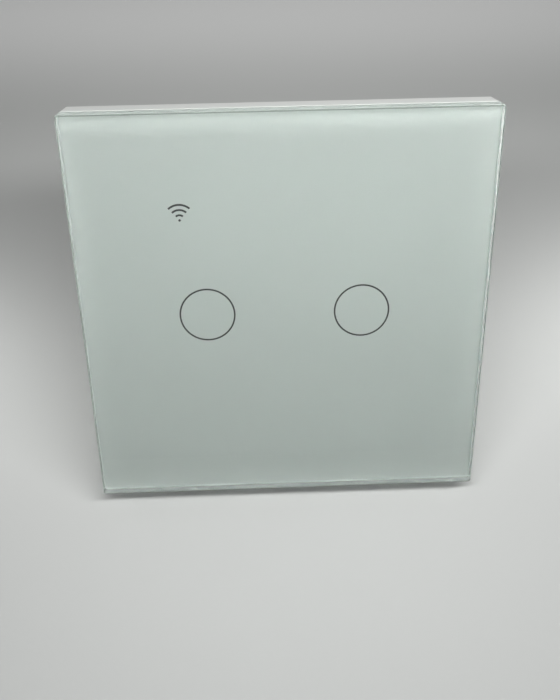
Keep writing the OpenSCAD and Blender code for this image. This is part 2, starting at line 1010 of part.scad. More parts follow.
module fuse_resistor() {
    color("#4E7D5B")
        behind_board(-core_l / 2 - part_gap - fuse_d / 2, transformer_y)
            can(fuse_d, fuse_h);
}

module bridge_rectifier() {
    color("#26282A")
        behind_board(
            rectifier_w / 2 - parts_edge_x,
            relay_y - relay_l / 2 + film_l + 2 * part_gap + disc_d + rectifier_l / 2
        )
            block(rectifier_w, rectifier_l, rectifier_h);
}

module supply_chip() {
    color("#26282A")
        behind_board(parts_edge_x - supply_w / 2, relay_top - output_d - part_gap - supply_l / 2)
            block(supply_w, supply_l, supply_h);
}

// Terminals

module terminal_housing() {
    color("#2E3033")
        behind_board()
            difference() {
                span(terminal_w, terminal_bottom, terminal_top, terminal_h);
                for (i = [1:terminal_count])
                    translate([terminal_x(i), 0, 0]) {
                        translate([0, 0, -over])
                            span(chamber_w, chamber_bottom, chamber_top, lip_low + over);
                        translate([0, cage_middle, lip_low - over])
                            cylinder(d = terminal_lip_d, h = terminal_wall + 2 * over);
                        translate([0, terminal_bottom - over, wire_h])
                            rotate([-90, 0, 0])
                                cylinder(d = wire_d, h = terminal_wall + 2 * over);
                    }
            }
}

module terminal_bars() {
    color("#C58A4A")
        behind_board()
            for (i = [1:terminal_count])
                translate([terminal_x(i), 0, 0]) {
                    translate([0, 0, bar_low])
                        span(bar_w, cage_bottom + 0.4, leg_top, bar_t);
                    translate([0, 0, -pin_below])
                        span(leg_w, leg_bottom, leg_top, pin_below + bar_low + bar_t / 2);
                }
}

module terminal_cage(i) {
    color("#CFB36A")
        behind_board(terminal_x(i))
            difference() {
                translate([0, 0, cage_stand])
                    span(cage_w, cage_bottom, cage_top, cage_high - cage_stand);
                translate([0, 0, cage_stand + cage_wall])
                    span(cage_w - 2 * cage_wall, cage_bottom - over, cage_top + over,
                        nut_low - cage_stand - cage_wall);
                translate([0, cage_middle, nut_low - over])
                    cylinder(d = terminal_screw_d + 2 * running, h = cage_nut_t + 2 * over);
            }
}

module terminal_screw(i) {
    tip = bar_low + bar_t + tip_gap;
    color("#C4C6C8")
        behind_board(terminal_x(i), cage_middle)
            difference() {
                union() {
                    translate([0, 0, tip])
                        cylinder(d = terminal_screw_d, h = head_low - tip);
                    translate([0, 0, head_low])
                        cylinder(d = terminal_head_d, h = terminal_head_h);
                }
                translate([0, 0, head_low + terminal_head_h])
                    cross_recess(terminal_head_d * 0.7);
            }
}

// Relays

module at_relay(side) {
    behind_board(side * relay_x, relay_y)
        children();
}

module relay_base(side) {
    color("#20304E")
        at_relay(side) {
            block(relay_w, relay_l, relay_base_t);
            at_relay_pins()
                translate([0, 0, -pin_below])
                    cylinder(d = relay_pin_d, h = pin_below + relay_base_t / 2);
        }
}

module relay_case(side) {
    color("#2A4A86")
        at_relay(side)
            translate([0, 0, relay_base_t])
                difference() {
                    slab(relay_w, relay_l, relay_case_h, 0.5);
                    translate([0, 0, -over])
                        block(relay_inner_w, relay_inner_l, relay_case_h - relay_wall + over);
                }
}

module relay_yoke(side) {
    color("#A9ADB0")
        at_relay(side) {
            translate([0, 0, relay_base_t])
                span(yoke_w, yoke_end, coil_y + core_d, yoke_t);
            translate([0, 0, relay_base_t])
                span(yoke_w, yoke_end, yoke_end + yoke_t, yoke_h - relay_base_t);
            translate([0, coil_y, relay_base_t])
                cylinder(d = core_d, h = pole_h - relay_base_t);
        }
}

module relay_coil(side) {
    flange = 0.8;
    color("#B8663A")
        at_relay(side)
            translate([0, coil_y, coil_low])
                rotate_extrude()
                    polygon([
                        [core_d / 2 + running, 0],
                        [coil_d / 2, 0],
                        [coil_d / 2, flange],
                        [coil_d / 2 - 0.5, flange],
                        [coil_d / 2 - 0.5, coil_h - flange],
                        [coil_d / 2, coil_h - flange],
                        [coil_d / 2, coil_h],
                        [core_d / 2 + running, coil_h]
                    ]);
}

module relay_fixed_contact(side) {
    post_y = relay_inner_l / 2 - fixed_arm_t - fit;
    arm_low = fixed_contact_h - fixed_contact_t - fixed_arm_t;
    color("#CFA05A")
        at_relay(side) {
            translate([0, 0, relay_base_t])
                span(yoke_w / 2, post_y, post_y + fixed_arm_t, arm_low + fixed_arm_t - relay_base_t);
            translate([0, 0, arm_low])
                span(yoke_w / 2, contact_y - contact_d / 2, post_y + fixed_arm_t, fixed_arm_t);
            translate([0, contact_y, arm_low + fixed_arm_t / 2])
                cylinder(d = contact_d, h = fixed_contact_t + fixed_arm_t / 2);
        }
}

module relay_armature(side) {
    color("#9DA1A4")
        at_relay(side) {
            translate([0, 0, armature_low])
                span(yoke_w, yoke_end, armature_end, armature_t);
            translate([0, pivot_y, pivot_h])
                rotate([0, 90, 0])
                    cylinder(r = pivot_r, h = yoke_w, center = true);
        }
}

module relay_moving_contact(side) {
    color("#CFA05A")
        at_relay(side) {
            translate([0, 0, armature_high])
                span(yoke_w / 2, armature_end - leaf_lap, contact_y + contact_d / 2 + 0.3, leaf_t);
            translate([0, contact_y, armature_high - moving_contact_t])
                cylinder(d = contact_d, h = moving_contact_t + leaf_t / 2);
        }
}

echo(relay_swing_degrees = asin(contact_gap / (contact_y - pivot_y)));
echo(box_depth = box_depth, panel_depth = glass_back + glass_t);

glass_panel();
print_coat();
mark_ink();
bonding_tape();
panel_carrier();
snap_hooks();
wall_plate();
rear_box();
box_screws();
touch_board();
touch_spring(left);  // touch_spring_left
touch_spring(right);  // touch_spring_right
light_ring(left);  // light_ring_left
light_ring(right);  // light_ring_right
signal_light_pipe();
indicator_lights();
touch_chip();
board_header();
header_pins();
radio_board();
radio_shield();
power_board();
transformer_core();
transformer_coil();
bulk_capacitor();
output_capacitor();
suppression_capacitor();
surge_disc();
fuse_resistor();
bridge_rectifier();
supply_chip();
terminal_housing();
terminal_bars();
for (i = [1:terminal_count]) {
    terminal_cage(i);
    terminal_screw(i);
}
for (side = sides) {
    name = side == left ? "left" : "right";
    relay_base(side);
    relay_case(side);
    relay_yoke(side);
    relay_coil(side);
    relay_fixed_contact(side);
    relay_armature(side);
    relay_moving_contact(side);
}
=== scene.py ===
# %% [markdown]
# # Two-gang touch light switch
# This lesson dresses a CAD model of a touch light switch. The CAD solids arrive as a fixed frame, in
# metres, and each new piece is made in that same frame, so nothing has to be fitted by eye. The glass
# front comes first, because it is what the photo shows, and then everything behind it, from the front to
# the rear.

# %% Load the frame
import json
from math import atan2, cos, degrees, hypot, pi, radians, sin, tau

import bmesh
import bpy
from mathutils import Matrix, Vector

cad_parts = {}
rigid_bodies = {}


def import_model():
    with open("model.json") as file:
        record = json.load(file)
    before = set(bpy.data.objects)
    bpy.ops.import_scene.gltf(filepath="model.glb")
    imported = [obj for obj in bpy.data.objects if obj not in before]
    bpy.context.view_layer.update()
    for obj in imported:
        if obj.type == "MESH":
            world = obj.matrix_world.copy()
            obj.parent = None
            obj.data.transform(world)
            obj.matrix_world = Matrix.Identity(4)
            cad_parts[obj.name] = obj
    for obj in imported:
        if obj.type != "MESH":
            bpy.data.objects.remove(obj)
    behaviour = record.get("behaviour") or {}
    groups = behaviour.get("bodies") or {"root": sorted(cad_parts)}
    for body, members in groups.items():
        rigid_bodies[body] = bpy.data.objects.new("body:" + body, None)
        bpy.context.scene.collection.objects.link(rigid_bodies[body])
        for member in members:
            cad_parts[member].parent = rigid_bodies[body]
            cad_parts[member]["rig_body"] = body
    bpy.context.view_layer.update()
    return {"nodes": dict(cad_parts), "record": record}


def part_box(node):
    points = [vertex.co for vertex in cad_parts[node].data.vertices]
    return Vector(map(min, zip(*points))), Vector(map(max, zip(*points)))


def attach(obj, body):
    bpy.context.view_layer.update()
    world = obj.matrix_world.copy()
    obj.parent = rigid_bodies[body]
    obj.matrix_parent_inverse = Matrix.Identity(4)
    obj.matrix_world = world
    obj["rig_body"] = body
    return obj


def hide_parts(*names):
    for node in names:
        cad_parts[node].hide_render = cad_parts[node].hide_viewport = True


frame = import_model()
scene = bpy.context.scene
scene.view_settings.view_transform = "Standard"
MM = 0.001
slot_of = {part["node"]: part["material_slot"] for part in frame["record"]["subparts"]}
slot_colour = {m["slot"]: m["base_color"][:3] for m in frame["record"]["materials"]}

# %% [markdown]
# ## Camera
# The photo was taken close to the switch, so its edges run together strongly. A camera is a place and
# three axes: one points right in the picture, one up, and one back from the picture to the viewer. Place,
# axes and lens come from fitting the corners of the panel. The fit gives the focal length in pixels of a
# frame 700 pixels high, and Blender wants millimetres on a 36 mm sensor.

# %% Place the camera
FRAME_HEIGHT_PX = 700
FOCAL_PX = 817.5
SENSOR_MM = 36
NEAREST_SEEN = 5 * MM
CAMERA_RIGHT = (0.99925, -0.03405, -0.01825)
CAMERA_UP = (0.03102, 0.42585, 0.90426)
CAMERA_BACK = (-0.02302, -0.90415, 0.42659)
CAMERA_PLACE = (-5.29 * MM, -169.5 * MM, 67.88 * MM)
camera_data = bpy.data.cameras.new("photo_camera")
camera_data.sensor_width = SENSOR_MM
camera_data.lens = FOCAL_PX / FRAME_HEIGHT_PX * SENSOR_MM
camera_data.clip_start = NEAREST_SEEN
camera = bpy.data.objects.new("photo_camera", camera_data)
camera_axes = Matrix((CAMERA_RIGHT, CAMERA_UP, CAMERA_BACK)).transposed()
camera.matrix_world = Matrix.Translation(CAMERA_PLACE) @ camera_axes.to_4x4()
scene.collection.objects.link(camera)
scene.camera = camera
print("lens:", round(camera_data.lens, 2), "mm")

# %% [markdown]
# ## Floor
# The switch isn't on a wall here. It leans back on its rear box, with the lower rear edge of the panel on
# the floor. The CAD frame stays upright, so the floor is tilted instead: it passes through those two
# edges. The paper is painted paler further back, as painted light where little lamp light reaches it.
# Seen from below the floor is clear, and it stops no light, so that it doesn't hide the rear of the
# switch in other views.

# %% Find the tilt of the floor
panel_low, panel_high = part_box("panel_carrier")
front_edge = Vector((0, panel_high.y, panel_low.z))
rear_edge = Vector((0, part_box("rear_box")[1].y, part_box("terminal_housing")[0].z))
floor_slope = atan2(rear_edge.z - front_edge.z, rear_edge.y - front_edge.y)
floor_back = Vector((0, cos(floor_slope), sin(floor_slope)))
floor_turn = Matrix.Translation(front_edge) @ Matrix.Rotation(floor_slope, 4, "X")
print("floor tilt:", round(degrees(floor_slope), 1), "degrees")

# %% Lay the floor
# Painted light: the paper's colour runs from the near colour to a much paler one further back, where the
# lamps reach less.
FLOOR_NEAR = (0.545, 0.556, 0.545, 1)
FLOOR_FAR_PAINTED_LIGHT = (0.94, 0.95, 0.94, 1)
PAINTED_LIGHT_START = 0.125
PAINTED_LIGHT_END = 0.185
FLOOR_REACH = 1.5
PAPER_ROUGHNESS = 0.9
PAPER_SHINE = 0.1


def floor_finish():
    """Pale paper, painted paler behind the switch as painted light, and clear from below and to shadow
    rays.
    """
    material = bpy.data.materials.new("pale_floor")
    material.use_nodes = True
    nodes, links = material.node_tree.nodes, material.node_tree.links
    surface = nodes["Principled BSDF"]
    surface.inputs["Roughness"].default_value = PAPER_ROUGHNESS
    surface.inputs["Specular IOR Level"].default_value = PAPER_SHINE
    place = nodes.new("ShaderNodeTexCoord")
    depth = nodes.new("ShaderNodeVectorMath")
    depth.operation = "DOT_PRODUCT"
    depth.inputs[1].default_value = floor_back
    # Painted light: this smooth step makes the paper paler with distance behind the switch.
    painted_light_fade = nodes.new("ShaderNodeMapRange")
    painted_light_fade.interpolation_type = "SMOOTHSTEP"
    painted_light_fade.inputs["From Min"].default_value = front_edge.dot(floor_back) + PAINTED_LIGHT_START
    painted_light_fade.inputs["From Max"].default_value = front_edge.dot(floor_back) + PAINTED_LIGHT_END
    shade = nodes.new("ShaderNodeMix")
    shade.data_type = "RGBA"
    shade.inputs["A"].default_value = FLOOR_NEAR
    shade.inputs["B"].default_value = FLOOR_FAR_PAINTED_LIGHT
    links.new(place.outputs["Object"], depth.inputs[0])
    links.new(depth.outputs["Value"], painted_light_fade.inputs["Value"])
    links.new(painted_light_fade.outputs["Result"], shade.inputs["Factor"])
    links.new(shade.outputs["Result"], surface.inputs["Base Color"])
    clear = nodes.new("ShaderNodeBsdfTransparent")
    geometry = nodes.new("ShaderNodeNewGeometry")
    path = nodes.new("ShaderNodeLightPath")
    hidden = nodes.new("ShaderNodeMath")
    hidden.operation = "MAXIMUM"
    mix = nodes.new("ShaderNodeMixShader")
    links.new(geometry.outputs["Backfacing"], hidden.inputs[0])
    links.new(path.outputs["Is Shadow Ray"], hidden.inputs[1])
    links.new(hidden.outputs[0], mix.inputs[0])
    links.new(surface.outputs[0], mix.inputs[1])
    links.new(clear.outputs[0], mix.inputs[2])
    links.new(mix.outputs[0], nodes["Material Output"].inputs["Surface"])
    return material


floor_mesh = bpy.data.meshes.new("floor")
bm = bmesh.new()
bmesh.ops.create_grid(bm, x_segments=1, y_segments=1, size=FLOOR_REACH, matrix=floor_turn)
bm.to_mesh(floor_mesh)
bm.free()
floor = bpy.data.objects.new("floor", floor_mesh)
floor_mesh.materials.append(floor_finish())
scene.collection.objects.link(floor)
print("floor reach:", FLOOR_REACH, "m to each side")

# %% [markdown]
# ## Light
# The face of the panel is clearly brighter at its top than at its foot, and the floor is dark close
# behind it. Only a near lamp does both, so a short light bar hangs over the switch, a little in front of
# its foot. A pale world fills the shadows. Outside the panel's shadow the floor is bright, so a weak lamp
# with a narrow beam is aimed there from each side. Both stand behind the plane of the face, which
# therefore doesn't see them. One more lamp, a broad one, stands behind the switch and under the floor: it
# lights the rear in other views, and can't be seen from the front. Places are in metres, and powers in
# watts.

# %% Set the lamps
BAR_PLACE = (0.02, -0.035, 0.18)
BAR_LENGTH, BAR_WIDTH = 0.24, 0.02
BAR_POWER = 0.38
SIDE_OUT, SIDE_BACK, SIDE_UP = 0.14, 0.06, 0.07
SIDE_LENGTH, SIDE_WIDTH = 0.05, 0.025
SIDE_POWER = 0.0028
SIDE_BEAM = radians(40)
POOL_OUT, LEFT_POOL_BACK, RIGHT_POOL_BACK = 0.082, 0.03, 0.037
REAR_PLACE = (0, 0.404, -0.202)
REAR_LENGTH, REAR_WIDTH = 0.3, 0.07
REAR_POWER = 1.2
WORLD_STRENGTH = 0.227


def lamp(name, place, length, width, power, target=(0, 0, 0), beam=pi):
    """An area lamp aimed at a target. Its place is right, back and up, from the foot of the panel."""
    data = bpy.data.lights.new(name, "AREA")
    data.shape = "RECTANGLE"
    data.size = length
    data.size_y = width
    data.energy = power
    data.spread = beam
    light = bpy.data.objects.new(name, data)
    spot = floor_turn @ Vector(place)
    aim = (spot - Vector(target)).to_track_quat("Z", "X").to_matrix().to_4x4()
    light.matrix_world = Matrix.Translation(spot) @ aim @ Matrix.Rotation(pi / 2, 4, "Z")
    scene.collection.objects.link(light)
    print(name, [round(v, 3) for v in spot])


lamp("light_bar", BAR_PLACE, BAR_LENGTH, BAR_WIDTH, BAR_POWER)
for name, side, pool_back in (("right_lamp", 1, RIGHT_POOL_BACK), ("left_lamp", -1, LEFT_POOL_BACK)):
    pool = floor_turn @ Vector((side * POOL_OUT, pool_back, 0))
    side_place = (side * SIDE_OUT, SIDE_BACK, SIDE_UP)
    lamp(name, side_place, SIDE_LENGTH, SIDE_WIDTH, SIDE_POWER, pool, SIDE_BEAM)
lamp("rear_lamp", REAR_PLACE, REAR_LENGTH, REAR_WIDTH, REAR_POWER)
world = bpy.data.worlds.new("studio")
scene.world = world
world.use_nodes = True
world.node_tree.nodes["Background"].inputs["Color"].default_value = (1, 1, 1, 1)
world.node_tree.nodes["Background"].inputs["Strength"].default_value = WORLD_STRENGTH

# %% [markdown]
# ## Finishes
# A finish is a Principled material with two layers of detail. A fine pattern, such as moulding grain,
# turns of wire or copper tracks, drives the gloss and the relief. Together with a broad, slow noise it
# also shifts the colour a little, as on any real batch of parts. Most colours come from the record, so
# that CAD and render agree. Glass, print, ink and the white mouldings are given theirs here, set against
# the photo where it shows them.

# %% Fine patterns
WAVE_FACTOR = 20


def speckle(nodes, scale):
    """Even grain, as on moulded or blasted surfaces."""
    noise = nodes.new("ShaderNodeTexNoise")
    noise.inputs["Scale"].default_value = scale
    noise.inputs["Detail"].default_value = 4
    return noise.inputs["Vector"], noise.outputs["Fac"]


def cells(nodes, scale):
    """Small closed cells, as in foam and sintered powder."""
    voronoi = nodes.new("ShaderNodeTexVoronoi")
    voronoi.inputs["Scale"].default_value = scale
    return voronoi.inputs["Vector"], voronoi.outputs["Distance"]


def windings(nodes, pitch):
    """Turns along Y, at a pitch in metres. Blender multiplies a wave's scale by a factor of its own."""
    wave = nodes.new("ShaderNodeTexWave")
    wave.bands_direction = "Y"
    wave.inputs["Scale"].default_value = tau / (WAVE_FACTOR * pitch)
    wave.inputs["Distortion"].default_value = 0.4
    return wave.inputs["Vector"], wave.outputs["Fac"]


def tracks(nodes, scale):
    """Copper tracks under the lacquer of a board, in the plane of X and Z."""
    turn = nodes.new("ShaderNodeMapping")
    turn.inputs["Rotation"].default_value = (pi / 2, 0, 0)
    brick = nodes.new("ShaderNodeTexBrick")
    brick.inputs["Scale"].default_value = scale
    brick.inputs["Mortar Size"].default_value = 0.06
    brick.inputs["Mortar Smooth"].default_value = 0.3
    brick.inputs["Brick Width"].default_value = 2.6
    brick.inputs["Row Height"].default_value = 0.55
    turn.id_data.links.new(turn.outputs["Vector"], brick.inputs["Vector"])
    return turn.inputs["Vector"], brick.outputs["Fac"]


print("patterns:", [pattern.__name__ for pattern in (speckle, cells, windings, tracks)])

# %% Make a finish
BROAD_SCALE = 120
EVEN_SHARE = 0.5
RELIEF_DEPTH = 0.1 * MM
finishes = {}


def finish(slot, gloss, colour=None, metallic=0.0, pattern=speckle, scale=2500, tint=0.06, bump=0.05,
           stretch=(1, 1, 1), **constants):
    """One finish. The gloss is a pair of roughnesses, and the tint is the change of colour."""
    colour = colour or slot_colour[slot]
    material = bpy.data.materials.new(slot + "_finish")
    material.use_nodes = True
    nodes, links = material.node_tree.nodes, material.node_tree.links
    surface = nodes["Principled BSDF"]
    place = nodes.new("ShaderNodeTexCoord")
    mapping = nodes.new("ShaderNodeMapping")
    mapping.inputs["Scale"].default_value = stretch
    fine_in, fine_out = pattern(nodes, scale)
    links.new(place.outputs["Object"], mapping.inputs["Vector"])
    links.new(mapping.outputs["Vector"], fine_in)
    broad_in, broad_out = speckle(nodes, BROAD_SCALE)
    links.new(place.outputs["Object"], broad_in)
    both = nodes.new("ShaderNodeMath")
    both.operation = "MULTIPLY_ADD"
    both.inputs[1].default_value = EVEN_SHARE
    half = nodes.new("ShaderNodeMath")
    half.operation = "MULTIPLY"
    half.inputs[1].default_value = EVEN_SHARE
    links.new(fine_out, half.inputs[0])
    links.new(broad_out, both.inputs[0])
    links.new(half.outputs[0], both.inputs[2])
    shade = nodes.new("ShaderNodeMix")
    shade.data_type = "RGBA"
    shade.inputs["A"].default_value = (*[c * (1 - tint) for c in colour], 1)
    shade.inputs["B"].default_value = (*[min(1, c * (1 + tint)) for c in colour], 1)
    links.new(both.outputs[0], shade.inputs["Factor"])
    links.new(shade.outputs["Result"], surface.inputs["Base Color"])
    rough = nodes.new("ShaderNodeMapRange")
    rough.inputs["To Min"].default_value, rough.inputs["To Max"].default_value = gloss
    links.new(fine_out, rough.inputs["Value"])
    links.new(rough.outputs["Result"], surface.inputs["Roughness"])
    if bump:
        relief = nodes.new("ShaderNodeBump")
        relief.inputs["Strength"].default_value = bump
        relief.inputs["Distance"].default_value = RELIEF_DEPTH
        links.new(fine_out, relief.inputs["Height"])
        links.new(relief.outputs["Normal"], surface.inputs["Normal"])
    surface.inputs["Metallic"].default_value = metallic
    for socket, value in constants.items():
        surface.inputs[socket.replace("_", " ")].default_value = value
    finishes[slot] = material
    print(material.name, "roughness", gloss)


print("slow noise scale:", BROAD_SCALE, "relief:", RELIEF_DEPTH / MM, "mm")

# %% [markdown]
# ## Shaping helpers
# Every piece is shaped in a bmesh and then finished in the same way: it is smoothed except at sharp
# edges, rides on a body of the frame, and takes the place of its CAD node, if it has one. A weighted
# normal modifier lets the large flat faces keep their own direction, so the shading doesn't bend where
# they run into a rounded corner. Where the CAD shape is already right, the piece starts as a copy of the
# node's mesh. Its loose triangles are merged, its flat faces are joined, and a small bevel takes the
# unreal sharpness off its outer edges, as a mould or a press would.

# %% Finish a piece
FULL_WEIGHT = 100


def finish_piece(bm, name, body, slots, *nodes, sharp=20):
    """Makes an object of the bmesh, with one material slot for each finish."""
    mesh = bpy.data.meshes.new(name)
    bm.to_mesh(mesh)
    bm.free()
    mesh.shade_smooth()
    mesh.set_sharp_from_angle(angle=radians(sharp))
    for slot in slots:
        mesh.materials.append(finishes[slot])
    piece = bpy.data.objects.new(name, mesh)
    scene.collection.objects.link(piece)
    weighted = piece.modifiers.new("flat_faces_stay_flat", "WEIGHTED_NORMAL")
    weighted.keep_sharp = True
    weighted.weight = FULL_WEIGHT
    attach(piece, body)
    if nodes:
        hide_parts(*nodes)
    print(name, len(mesh.polygons), "faces")


# %% Blocks and bevels
STRAIGHT = 0.999
SAME_HEIGHT = 0.001 * MM
SHARP_EDGE = radians(30)


def block(bm, low, high):
    """A cuboid between two corners."""
    low, high = Vector(low), Vector(high)
    matrix = Matrix.Translation((low + high) / 2) @ Matrix.Diagonal((*(high - low), 1))
    bmesh.ops.create_cube(bm, size=1, matrix=matrix)


def bevel(bm, edges, width, segments=2):
    """Cuts or rounds edges by a width."""
    bmesh.ops.bevel(bm, geom=edges, offset=width, offset_type="OFFSET", segments=segments, profile=0.5,
                    affect="EDGES", loop_slide=False, clamp_overlap=False, material=-1)


def edges_along(bm, axis):
    """Edges that run along one axis: 0 is X, 1 is Y, 2 is Z."""
    runs = [((e.verts[1].co - e.verts[0].co).normalized(), e) for e in bm.edges]
    return [edge for run, edge in runs if abs(run[axis]) > STRAIGHT]


def rim_edges(bm, y):
    """Edges that lie in the plane of one Y."""
    return [e for e in bm.edges if all(abs(v.co.y - y) < SAME_HEIGHT for v in e.verts)]


def soften(bm, width, segments=2):
    """Rounds the sharp outer edges."""
    outer = [e for e in bm.edges if len(e.link_faces) == 2 and e.is_convex]
    bevel(bm, [e for e in outer if e.calc_face_angle() > SHARP_EDGE], width, segments)


print("edges are rounded from", round(degrees(SHARP_EDGE)), "degrees")

# %% Copy a CAD shape
MERGE_REACH = 0.001 * MM
SAME_PLANE = radians(1)


def cad_shape(node):
    """A copy of a CAD node's mesh, with its triangles merged and its flat faces joined."""
    bm = bmesh.new()
    bm.from_mesh(frame["nodes"][node].data)
    bmesh.ops.remove_doubles(bm, verts=bm.verts, dist=MERGE_REACH)
    bmesh.ops.dissolve_limit(bm, angle_limit=SAME_PLANE, verts=bm.verts, edges=bm.edges)
    return bm


def soft_copy(node, name, width, segments=2):
    """A piece with a CAD node's own shape, and with its outer edges rounded."""
    bm = cad_shape(node)
    soften(bm, width, segments)
    finish_piece(bm, name, frame["nodes"][node]["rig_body"], [slot_of[node]], node)


print("CAD triangles:", sum(len(node.data.polygons) for node in frame["nodes"].values()))

# %% [markdown]
# ## Glass panel
# A flat plate of clear glass. Its sides are ground, so they look whitish and let soft light in, which
# draws a bright band on the print along the edges. A solid plate with ground sides does that by itself,
# so no band is painted. The front edge is taken off with two narrow facets. The outer one is ground like
# the sides. The inner one is polished, and its glass is painted darker: a painted shade that draws a thin
# dark line around the face. The print runs over the narrow bevel at the rear. The way a face leans gives
# it its finish.

# %% Cut the glass
FRONT_FACETS = 0.36 * MM
REAR_BEVEL = 0.3 * MM
CORNER = 0.6 * MM
CORNER_STEPS = 6
FLAT_LEAN, FACET_LEAN, SIDE_LEAN = 0.99, 0.9, 0.1
CLEAR, GROUND, POLISHED_PAINTED_DARK, PRINTED = range(4)
glass_slots = ["clear_glass", "ground_edge", "polished_facet", "pale_print"]
glass_body = {"Transmission_Weight": 1.0, "IOR": 1.52, "bump": 0}
finish("clear_glass", (0.015, 0.025), colour=(0.965, 0.99, 0.978), scale=60, tint=0.005, **glass_body)
finish("ground_edge", (0.55, 0.68), colour=(0.95, 0.97, 0.96), scale=5000, tint=0.02, **glass_body)
# Painted shade: the polished facet's glass is tinted dark, to draw a thin dark line around the face.
finish("polished_facet", (0.05, 0.12), colour=(0.34, 0.37, 0.35), scale=400, tint=0.03, **glass_body)
finish("pale_print", (0.55, 0.65), colour=(0.678, 0.732, 0.70), scale=3000, tint=0.01, bump=0)
glass_low, glass_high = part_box("glass_panel")
bm = bmesh.new()
block(bm, glass_low, glass_high)
bevel(bm, edges_along(bm, axis=1), CORNER, CORNER_STEPS)
bevel(bm, rim_edges(bm, glass_low.y), FRONT_FACETS, segments=2)
bevel(bm, rim_edges(bm, glass_high.y), REAR_BEVEL, segments=1)
for face in bm.faces:
    lean = abs(face.normal.y)
    face.material_index = CLEAR if lean > FLAT_LEAN else POLISHED_PAINTED_DARK if lean > FACET_LEAN else GROUND
    if SIDE_LEAN < face.normal.y < FACET_LEAN:
        face.material_index = PRINTED
finish_piece(bm, "glass_plate", "panel", glass_slots, "glass_panel", sharp=5)

# %% [markdown]
# ## Print and marks
# The pale grey is a screen print on the back of the glass, with the rings and the signal mark printed in
# smoked ink. A print has no gap to its glass, so it is sunk into it by a hair, and the ink by another
# hair. The rings are a small upright frame of four corners, spun around the centre of the mark, and the
# signal's arcs are a part of such a turn.

# %% Print the back of the glass
INK_SINK = 0.02 * MM
finish("smoke_ink", (0.5, 0.65), colour=(0.05, 0.06, 0.055), scale=3000, tint=0.1, bump=0)
print_low = glass_low + Vector((REAR_BEVEL, 0, REAR_BEVEL))
print_high = glass_high - Vector((REAR_BEVEL, 0, REAR_BEVEL))
print_low.y = glass_high.y - INK_SINK
print_high.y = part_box("print_coat")[1].y
bm = bmesh.new()
block(bm, print_low, print_high)
bevel(bm, edges_along(bm, axis=1), CORNER - REAR_BEVEL, CORNER_STEPS)
finish_piece(bm, "back_print", "panel", ["pale_print"], "print_coat", sharp=5)

# %% Draw the marks
RING_RADIUS = 5.8 * MM
RING_LINE = 0.35 * MM
RING_X = 16.5 * MM
RING_Z = 0.4 * MM
RING_STEPS = 96
SIGNAL_X = -21.0 * MM
SIGNAL_Z = 21.3 * MM
SIGNAL_STEP = 1.07 * MM
SIGNAL_LINE = 0.4 * MM
SIGNAL_DOT = 0.26 * MM
SIGNAL_HALF_ANGLE = radians(42)
SIGNAL_STEPS = 24
ink_front = glass_high.y - 2 * INK_SINK
ink_back = print_high.y


def edges_in(geometry):
    """The edges among the things that an operator made."""
    return [g for g in geometry if isinstance(g, bmesh.types.BMEdge)]


def line_ring(bm, centre, radius, line, start, sweep, steps):
    """A flat line along a circle around Y: a small upright frame, spun around the centre."""
    corners = [(radius - line / 2, ink_front), (radius + line / 2, ink_front),
               (radius + line / 2, ink_back), (radius - line / 2, ink_back)]
    turn = Matrix.Rotation(-start, 4, "Y")
    verts = [bm.verts.new(centre + turn @ Vector((r, y, 0))) for r, y in corners]
    edges = [bm.edges.new((verts[i - 1], verts[i])) for i in (1, 2, 3, 0)]
    full = sweep == tau
    spun = bmesh.ops.spin(bm, geom=edges, cent=centre, axis=(0, -1, 0), angle=sweep, steps=steps,
                          use_merge=full)
    if not full:
        for end in (edges, edges_in(spun["geom_last"])):
            bmesh.ops.contextual_create(bm, geom=end)


bm = bmesh.new()
for x in (-RING_X, RING_X):
    line_ring(bm, Vector((x, 0, RING_Z)), RING_RADIUS, RING_LINE, 0, tau, RING_STEPS)
for i in (1, 2, 3):
    line_ring(bm, Vector((SIGNAL_X, 0, SIGNAL_Z)), i * SIGNAL_STEP, SIGNAL_LINE,
              pi / 2 - SIGNAL_HALF_ANGLE, 2 * SIGNAL_HALF_ANGLE, SIGNAL_STEPS)
dot_middle = Matrix.Translation((SIGNAL_X, (ink_front + ink_back) / 2, SIGNAL_Z))
bmesh.ops.create_cone(bm, cap_ends=True, segments=SIGNAL_STEPS, radius1=SIGNAL_DOT, radius2=SIGNAL_DOT,
                      depth=ink_back - ink_front, matrix=dot_middle @ Matrix.Rotation(pi / 2, 4, "X"))
bmesh.ops.recalc_face_normals(bm, faces=bm.faces)
finish_piece(bm, "ring_marks", "panel", ["smoke_ink"], "mark_ink")

# %% [markdown]
# ## Carrier, hooks and wall plate
# A white moulded frame carries the glass on a border of foam tape. Four springy hooks on it hold it on
# the wall plate. White mouldings have a fine satin grain from the spark-eroded mould, and edges rounded
# by a tenth or two of a millimetre, which catch the light. The wall plate is hidden in use, so its grain
# is coarser. Its white is greyer, so that it doesn't burn out under the near lamp. The CAD shapes are
# right, so softened copies are enough.

# %% Mould the carrier and the wall plate
FINE_EDGE = 0.12 * MM
finish("bonding_tape", (0.8, 0.95), pattern=cells, scale=2600, tint=0.15, bump=0.3)
soft_copy("bonding_tape", "foam_tape", width=0.05 * MM)
finish("white_plastic", (0.5, 0.65), colour=(0.84, 0.86, 0.835), scale=4000, tint=0.02, bump=0.04)
soft_copy("panel_carrier", "carrier_frame", FINE_EDGE)
soft_copy("snap_hooks", "hook_set", FINE_EDGE)
finish("white_plastic", (0.55, 0.7), colour=(0.6, 0.615, 0.597), scale=2800, tint=0.03, bump=0.08)
soft_copy("wall_plate", "wall_frame", width=0.18 * MM)

# %% [markdown]
# ## Rear box
# The box that goes into the wall is moulded in a slightly warmer white, with a coarser grain, because
# nobody sees it in use. The shallow recess on its rear is where a rating label would be, and it stays
# bare.

